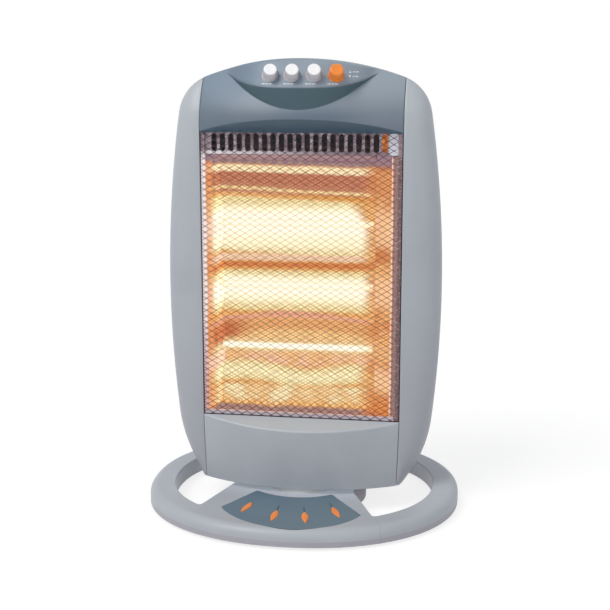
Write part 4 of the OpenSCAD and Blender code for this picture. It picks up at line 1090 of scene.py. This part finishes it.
def lit_sheet(name, toward, edge=None):
    """Polished sheet with the lamps' light painted on as a glow, on the side that faces the lamps."""
    material, start, shader = started(name)
    light, x, z = glow(start)
    if edge:
        light = edge(x, z, light)
    y = spot_of(start)[1]
    off = (z - LAMPS["bottom"]).math("PINGPONG", TROUGH_HALF)
    sheet_y = (TROUGH_R ** 2 - off * off).math("SQRT") + TROUGH_Y
    inner = turned_to(start, toward).rise(0.0, 0.1) * (y - sheet_y).rise(1.2, 0.4)
    lines = noise(start, 0.8, 3, (0.05, 1, 1))
    # A dark streaked colour under the painted glow.
    dark_streaks = lines.paint(ink(44, 36, 32), ink(60, 50, 44))
    wired(shader, Base_Color=inner.paint(ink(120, 116, 112), dark_streaks), Metallic=0.7, Roughness=0.3 + lines * 0.12,
          Emission_Color=inner.paint(UNLIT, light), Emission_Strength=1.09, Normal=bumped(start, lines, 0.02, 0.3))
    return material


def reflector():
    """Three troughs bent in one sheet, with a lip to the guard above and below."""
    ridge, lip = 8.0, -24.1
    half = math.degrees(math.asin(TROUGH_HALF / TROUGH_R))
    line = [(lip, 392.0), (ridge, 384.0)]
    for z in LAMPS.values():
        line += arc(TROUGH_Y, z, TROUGH_R, half, -half, 28)
    line += [(ridge, 110.0), (lip, 103.0)]
    rows = [[(x, y, z) for y, z in line] for x in steps(-96.7, 79.7, 12)]
    return made("lamp_reflector", skin(rows, closed=False), (0, 400, 245), 0.8, crease=24)


place(reflector(), "head", "reflector_sheet", lit_sheet("lit_reflector", (0, -1, 0)), "reflector")


def left_end(x, z, light):
    """Painted glow, with painted shade at its rim and the light of two lamps on it."""
    return layered(
        light, (x.rise(-98, -101.5) * 0.75, ink(230, 150, 94)),
        (z.stripe(302, 318, 6).either(z.stripe(150, 166, 6)) * 0.6, ink(246, 212, 194)),
        (z.rise(383.5, 386.5), MAUVE))


def right_end(x, z, light):
    """Painted glow: three beams, two bands of painted shade, and a painted highlight and brown shade at its rim.
    """
    beam = z.stripe(292, 335, 10).either(z.stripe(226, 260, 8)).either(z.stripe(132, 158, 8))
    dark = z.stripe(275, 290, 6).either(z.rise(338, 352) * 0.8)
    return layered(
        light, (beam * 0.75, ink(242, 194, 150)), (dark * 0.75, ink(196, 116, 66)), (z.rise(379, 382), MAUVE),
        (x.stripe(97.6, 98.8, 0.4), ink(238, 204, 190)), (x.rise(99.4, 100.2), ink(140, 108, 102)))


dressed(lit_sheet("lit_left_end", (1, -0.3, 0), left_end), "reflector_sheet", "end_plate_left")
dressed(lit_sheet("lit_right_end", (-1, -0.3, 0), right_end), "reflector_sheet", "end_plate_right")
SLOTS, SLOT_X, SLOT_STEP, SLOT_R = 21, -2.4, 9.26, 3
SLOT_LOW, SLOT_HIGH, PLATE_Y, FOLD_Y = 398.6, 412.2, -24.1, -21.0


def slot_plate():
    """Flat sheet with upright slots, and a fold behind the last one that carries the painted glow of the end
    plate.
    """
    holes = []
    for i in range(SLOTS):
        x = SLOT_X + (i - SLOTS // 2) * SLOT_STEP
        holes.append(arc(x, SLOT_HIGH, SLOT_R, 0, 180, 10) + arc(x, SLOT_LOW, SLOT_R, 180, 360, 10))
    front = fill(rounded_box(105.8, 392.8, 419.2, 0.6, 3), holes, facing, PLATE_Y)
    fold = skin([facing([(86.4, z), (94.2, z)], FOLD_Y) for z in (394.0, 417.6)], closed=False)
    return made("slotted_plate", joined(front, fold), (0, 40, 406), 1.0)


def plate_steel():
    """Rolled sheet, with a painted highlight along its foot that is strongest at the left, and one at its right
    end.
    """
    material, start, shader = started("plate_steel")
    x, _, z = spot_of(start)
    lines = noise(start, 0.6, 3, (0.1, 1, 1))
    tone = layered(
        noise(start, 7, 3).rise(0.35, 0.65).paint(ink(146, 128, 136), ink(206, 190, 198)),
        # Darker along the foot with a painted highlight strongest at the left, and a painted highlight at the
        # right end.
        (z.rise(398.5, 396.5), ink(158, 138, 146)), (z.rise(397.6, 396.2) * x.rise(60, -100), ink(255, 246, 250)),
        (x.rise(93, 96), ink(238, 240, 250)))
    wired(shader, Base_Color=tone, Metallic=0.35, Roughness=0.36 + lines * 0.12,
          Normal=bumped(start, lines, 0.02, 0.3))
    return material


def fold_glow():
    """Painted glow of the lit end of the chamber, seen through the last slot."""
    material, start, shader = started("fold_glow")
    light = noise(start, 4, 3).rise(0.35, 0.65).paint(ink(150, 72, 16), ink(214, 120, 40))
    wired(shader, Base_Color=ink(60, 44, 30), Metallic=0.6, Roughness=0.3 + noise(start, 1, 3) * 0.15,
          Emission_Color=light, Emission_Strength=1.0)
    return material


plate = slot_plate()
place(plate, "head", "steel", plate_steel(), "slot_plate")
plate.data.materials.append(fold_glow())
# The fold behind the last slot gets the painted glow.
for face in plate.data.polygons:
    face.material_index = int(face.center.y / MM > FOLD_Y - 1.5)
dressed(lit_sheet("lit_clips", (0, -1, 0)), "steel", "lamp_clips")
dressed(black_nylon, "black_plastic", "thermal_cutout")


# ------------------------ lamps
# Three quartz tubes with coiled tungsten filaments, held by ceramic ends in the end plates.
# They are shown lit, each a white hot line.

TUBE_START, TUBE_END, LAMP_Y = -103.0, 86.0, 6.0


def quartz():
    """Clear glass, lit from inside: white along its middle, fading to the right end."""
    material, start, shader = started("lit_quartz")
    centre = start.node("LayerWeight", None, {"Blend": 0.5}, "Facing").rise(0.42, 0.02)
    x = spot_of(start)[0]
    centre = centre * x.rise(90, 52) * (x.rise(-104, -80) * 0.5 + 0.5)
    frost = noise(start, 3, 3)
    wired(shader, Base_Color=frost.paint(ink(120, 100, 80), ink(140, 118, 92)), Roughness=0.12 + frost * 0.1,
          Emission_Color=centre.paint(BUTTER, CORE), Emission_Strength=1.0, Alpha=centre * 0.8 + 0.02)
    return material


def white_hot():
    material, start, shader = started("hot_filament")
    wired(shader, Base_Color=ink(120, 90, 70), Metallic=1.0, Roughness=0.4, Emission_Strength=1.3,
          Emission_Color=noise(start, 9, 2).paint(ink(255, 226, 168), ink(255, 246, 220)))
    return material


def filament(name, z):
    """Tungsten wire wound into a coil from end to end of the tube."""
    coil, wire, pitch, clear, round_n, turn_n = 1.3, 0.22, 1.35, 4, 5, 10
    rows = []
    for i in range(int((TUBE_END - TUBE_START - 2 * clear) / pitch) * turn_n + 1):
        t = 2 * math.pi * i / turn_n
        middle = Vector((TUBE_START + clear + pitch * i / turn_n, LAMP_Y, z))
        out = Vector((0, math.cos(t), math.sin(t)))
        rows.append([tuple(middle + out * (coil - wire + wire * math.cos(s)) + Vector((wire * math.sin(s), 0, 0)))
                     for s in [2 * math.pi * k / round_n for k in range(round_n)]])
    return made(name, skin(rows, caps=(True, True)), (0, LAMP_Y, z), crease=80)


def lit_by_lamps(start):
    """Lamp light on the ceramic, except where it is turned away to the back."""
    return (1 - turned_to(start, (0, 1, 0)).rise(0, 0.3)).paint(UNLIT, glow(start)[0])


quartz_lit, filament_lit = quartz(), white_hot()
for spot, z in LAMPS.items():
    profile = [(4.5, 0), (4.5, 189), (5.2, 189), (5.5, 188.6), (5.5, 0.4), (5.2, 0), (4.5, 0)]
    tube = made(f"quartz_tube_{spot}", turned(profile, (TUBE_START, LAMP_Y, z), (1, 0, 0)), (0, LAMP_Y, z))
    place(tube, "head", "quartz", quartz_lit, f"lamp_tube_{spot}")
    place(filament(f"tungsten_coil_{spot}", z), "head", "filament", filament_lit, f"filament_{spot}")
steatite = moulded("steatite", ink(120, 112, 100), 0.62, 0.9, 0.05, thrown=lit_by_lamps)
dressed(steatite, "ceramic", "lamp_caps")


# ------------------------ guard
# A chromed frame round the window with a woven diamond net of thin wire in front of it, which
# keeps fingers off the lamps. Both are screwed to the fascia and the cover from behind.

NET_HALF, NET_LOW, NET_HIGH = 109.2, 102.2, 419.0
NET_W, NET_H = 11.1, 6.7


def clipped(x0, z0, slope):
    """Ends of a slanted wire through a point, inside the net's frame."""
    left, right = sorted(x0 + (z - z0) / slope for z in (NET_LOW, NET_HIGH))
    left, right = max(-NET_HALF, left), min(NET_HALF, right)
    return None if right - left < 0.8 else [(x, z0 + (x - x0) * slope) for x in (left, right)]


def guard_net():
    """Two layers of slanted wires, one leaning each way."""
    r, n, parts = 0.34, 6, []
    for way, y in ((1, -28.25), (-1, -27.95)):
        slope = way * NET_H / NET_W
        first = NET_LOW - 2 * NET_HALF * abs(slope)
        for i in range(int((NET_HIGH - first) / NET_H) + 1):
            ends = clipped(-NET_HALF * way, first + i * NET_H, slope)
            if ends:
                a, b = (Vector((x, y, z)) for x, z in ends)
                parts.append(rod(r, 0, (b - a).length, a, (b - a).normalized(), n))
    return made("diamond_net", joined(*parts), (0, -28, 260), crease=70)


def guard_wire():
    """Chromed wire, painted dark against the head, with painted glints at the right rim and a painted glow across
    the lamps.
    """
    material, start, shader = started("net_wire")
    light, x, z = glow(start, 7, 8)
    inner = x.stripe(-107, 92, 3) * z.stripe(104, 380, 4)
    bright = blue_of(light).rise(0.12, 0.6)
    light = layered(light, (bright, ink(228, 214, 158)), (z.stripe(173, 178, 2) * inner, CORE))
    lines = noise(start, 1.2, 3)
    # Painted dark reflection, browner across the window, and painted glints by the right rim.
    dark_metal_and_glints = layered(
        lines.paint(ink(60, 40, 50), ink(96, 74, 84)), (inner * 0.9, ink(86, 44, 24)),
        ((x + 7).rise(101, 102.5) * lines.rise(0.45, 0.6), ink(206, 186, 194)))
    wired(shader, Base_Color=dark_metal_and_glints, Metallic=0.6, Roughness=0.3 + lines * 0.15,
          Emission_Color=(inner * (bright * 0.5 + 0.2)).paint(UNLIT, light),
          Emission_Strength=0.9, Normal=bumped(start, lines, 0.02, 0.4))
    return material


def guard_frame():
    """Pressed strip, narrower along its top than at its sides and foot."""
    rows = []
    for shrink, y in ((0, -24.2), (0, -27.0), (0.4, -27.4), (4.2, -27.4), (4.6, -27.0), (4.6, -24.2), (0, -24.2)):
        half_w, low, high = 109.4 - shrink, 102.0 + shrink, 419.2 - shrink * 0.43
        rows.append(facing([(half_w, low), (half_w, high), (-half_w, high), (-half_w, low)], y))
    return made("guard_frame", skin(rows), (0, -25, 260), crease=30)


def frame_chrome():
    """Chromed strip with painted light: highlights at the left and below, brown shade on the side turned from the
    light.
    """
    material, start, shader = started("frame_chrome")
    x, _, z = spot_of(start)
    lines = noise(start, 0.6, 4, (1, 1, 0.1))
    # Painted reflection lighter upwards and at the foot, brown painted shade at the right, painted highlights at
    # the left.
    side = z.rise(120, 260).paint(ink(214, 172, 168), ink(255, 240, 240))
    side = z.rise(107, 106).paint(side, ink(222, 208, 216))
    tone = layered(
        side, (x.rise(103, 104), ink(134, 104, 102)), (z.rise(390.5, 392), ink(168, 148, 156)),
        (z.stripe(388, 396, 1) * x.rise(-100, -104), ink(255, 246, 250)))
    lit = z.rise(392, 388) * z.rise(106, 107) * x.rise(104, 102) * 0.3
    wired(shader, Base_Color=(lines * 0.25).paint(tone, ink(70, 56, 62)), Metallic=0.2,
          Roughness=0.24 + lines * 0.1, Emission_Color=lit.paint(UNLIT, side), Emission_Strength=1.0,
          Normal=bumped(start, lines, 0.02, 0.3))
    return material


place(guard_net(), "head", "guard_wire", guard_wire(), "guard_mesh")
place(guard_frame(), "head", "chrome", frame_chrome(), "guard_rim")
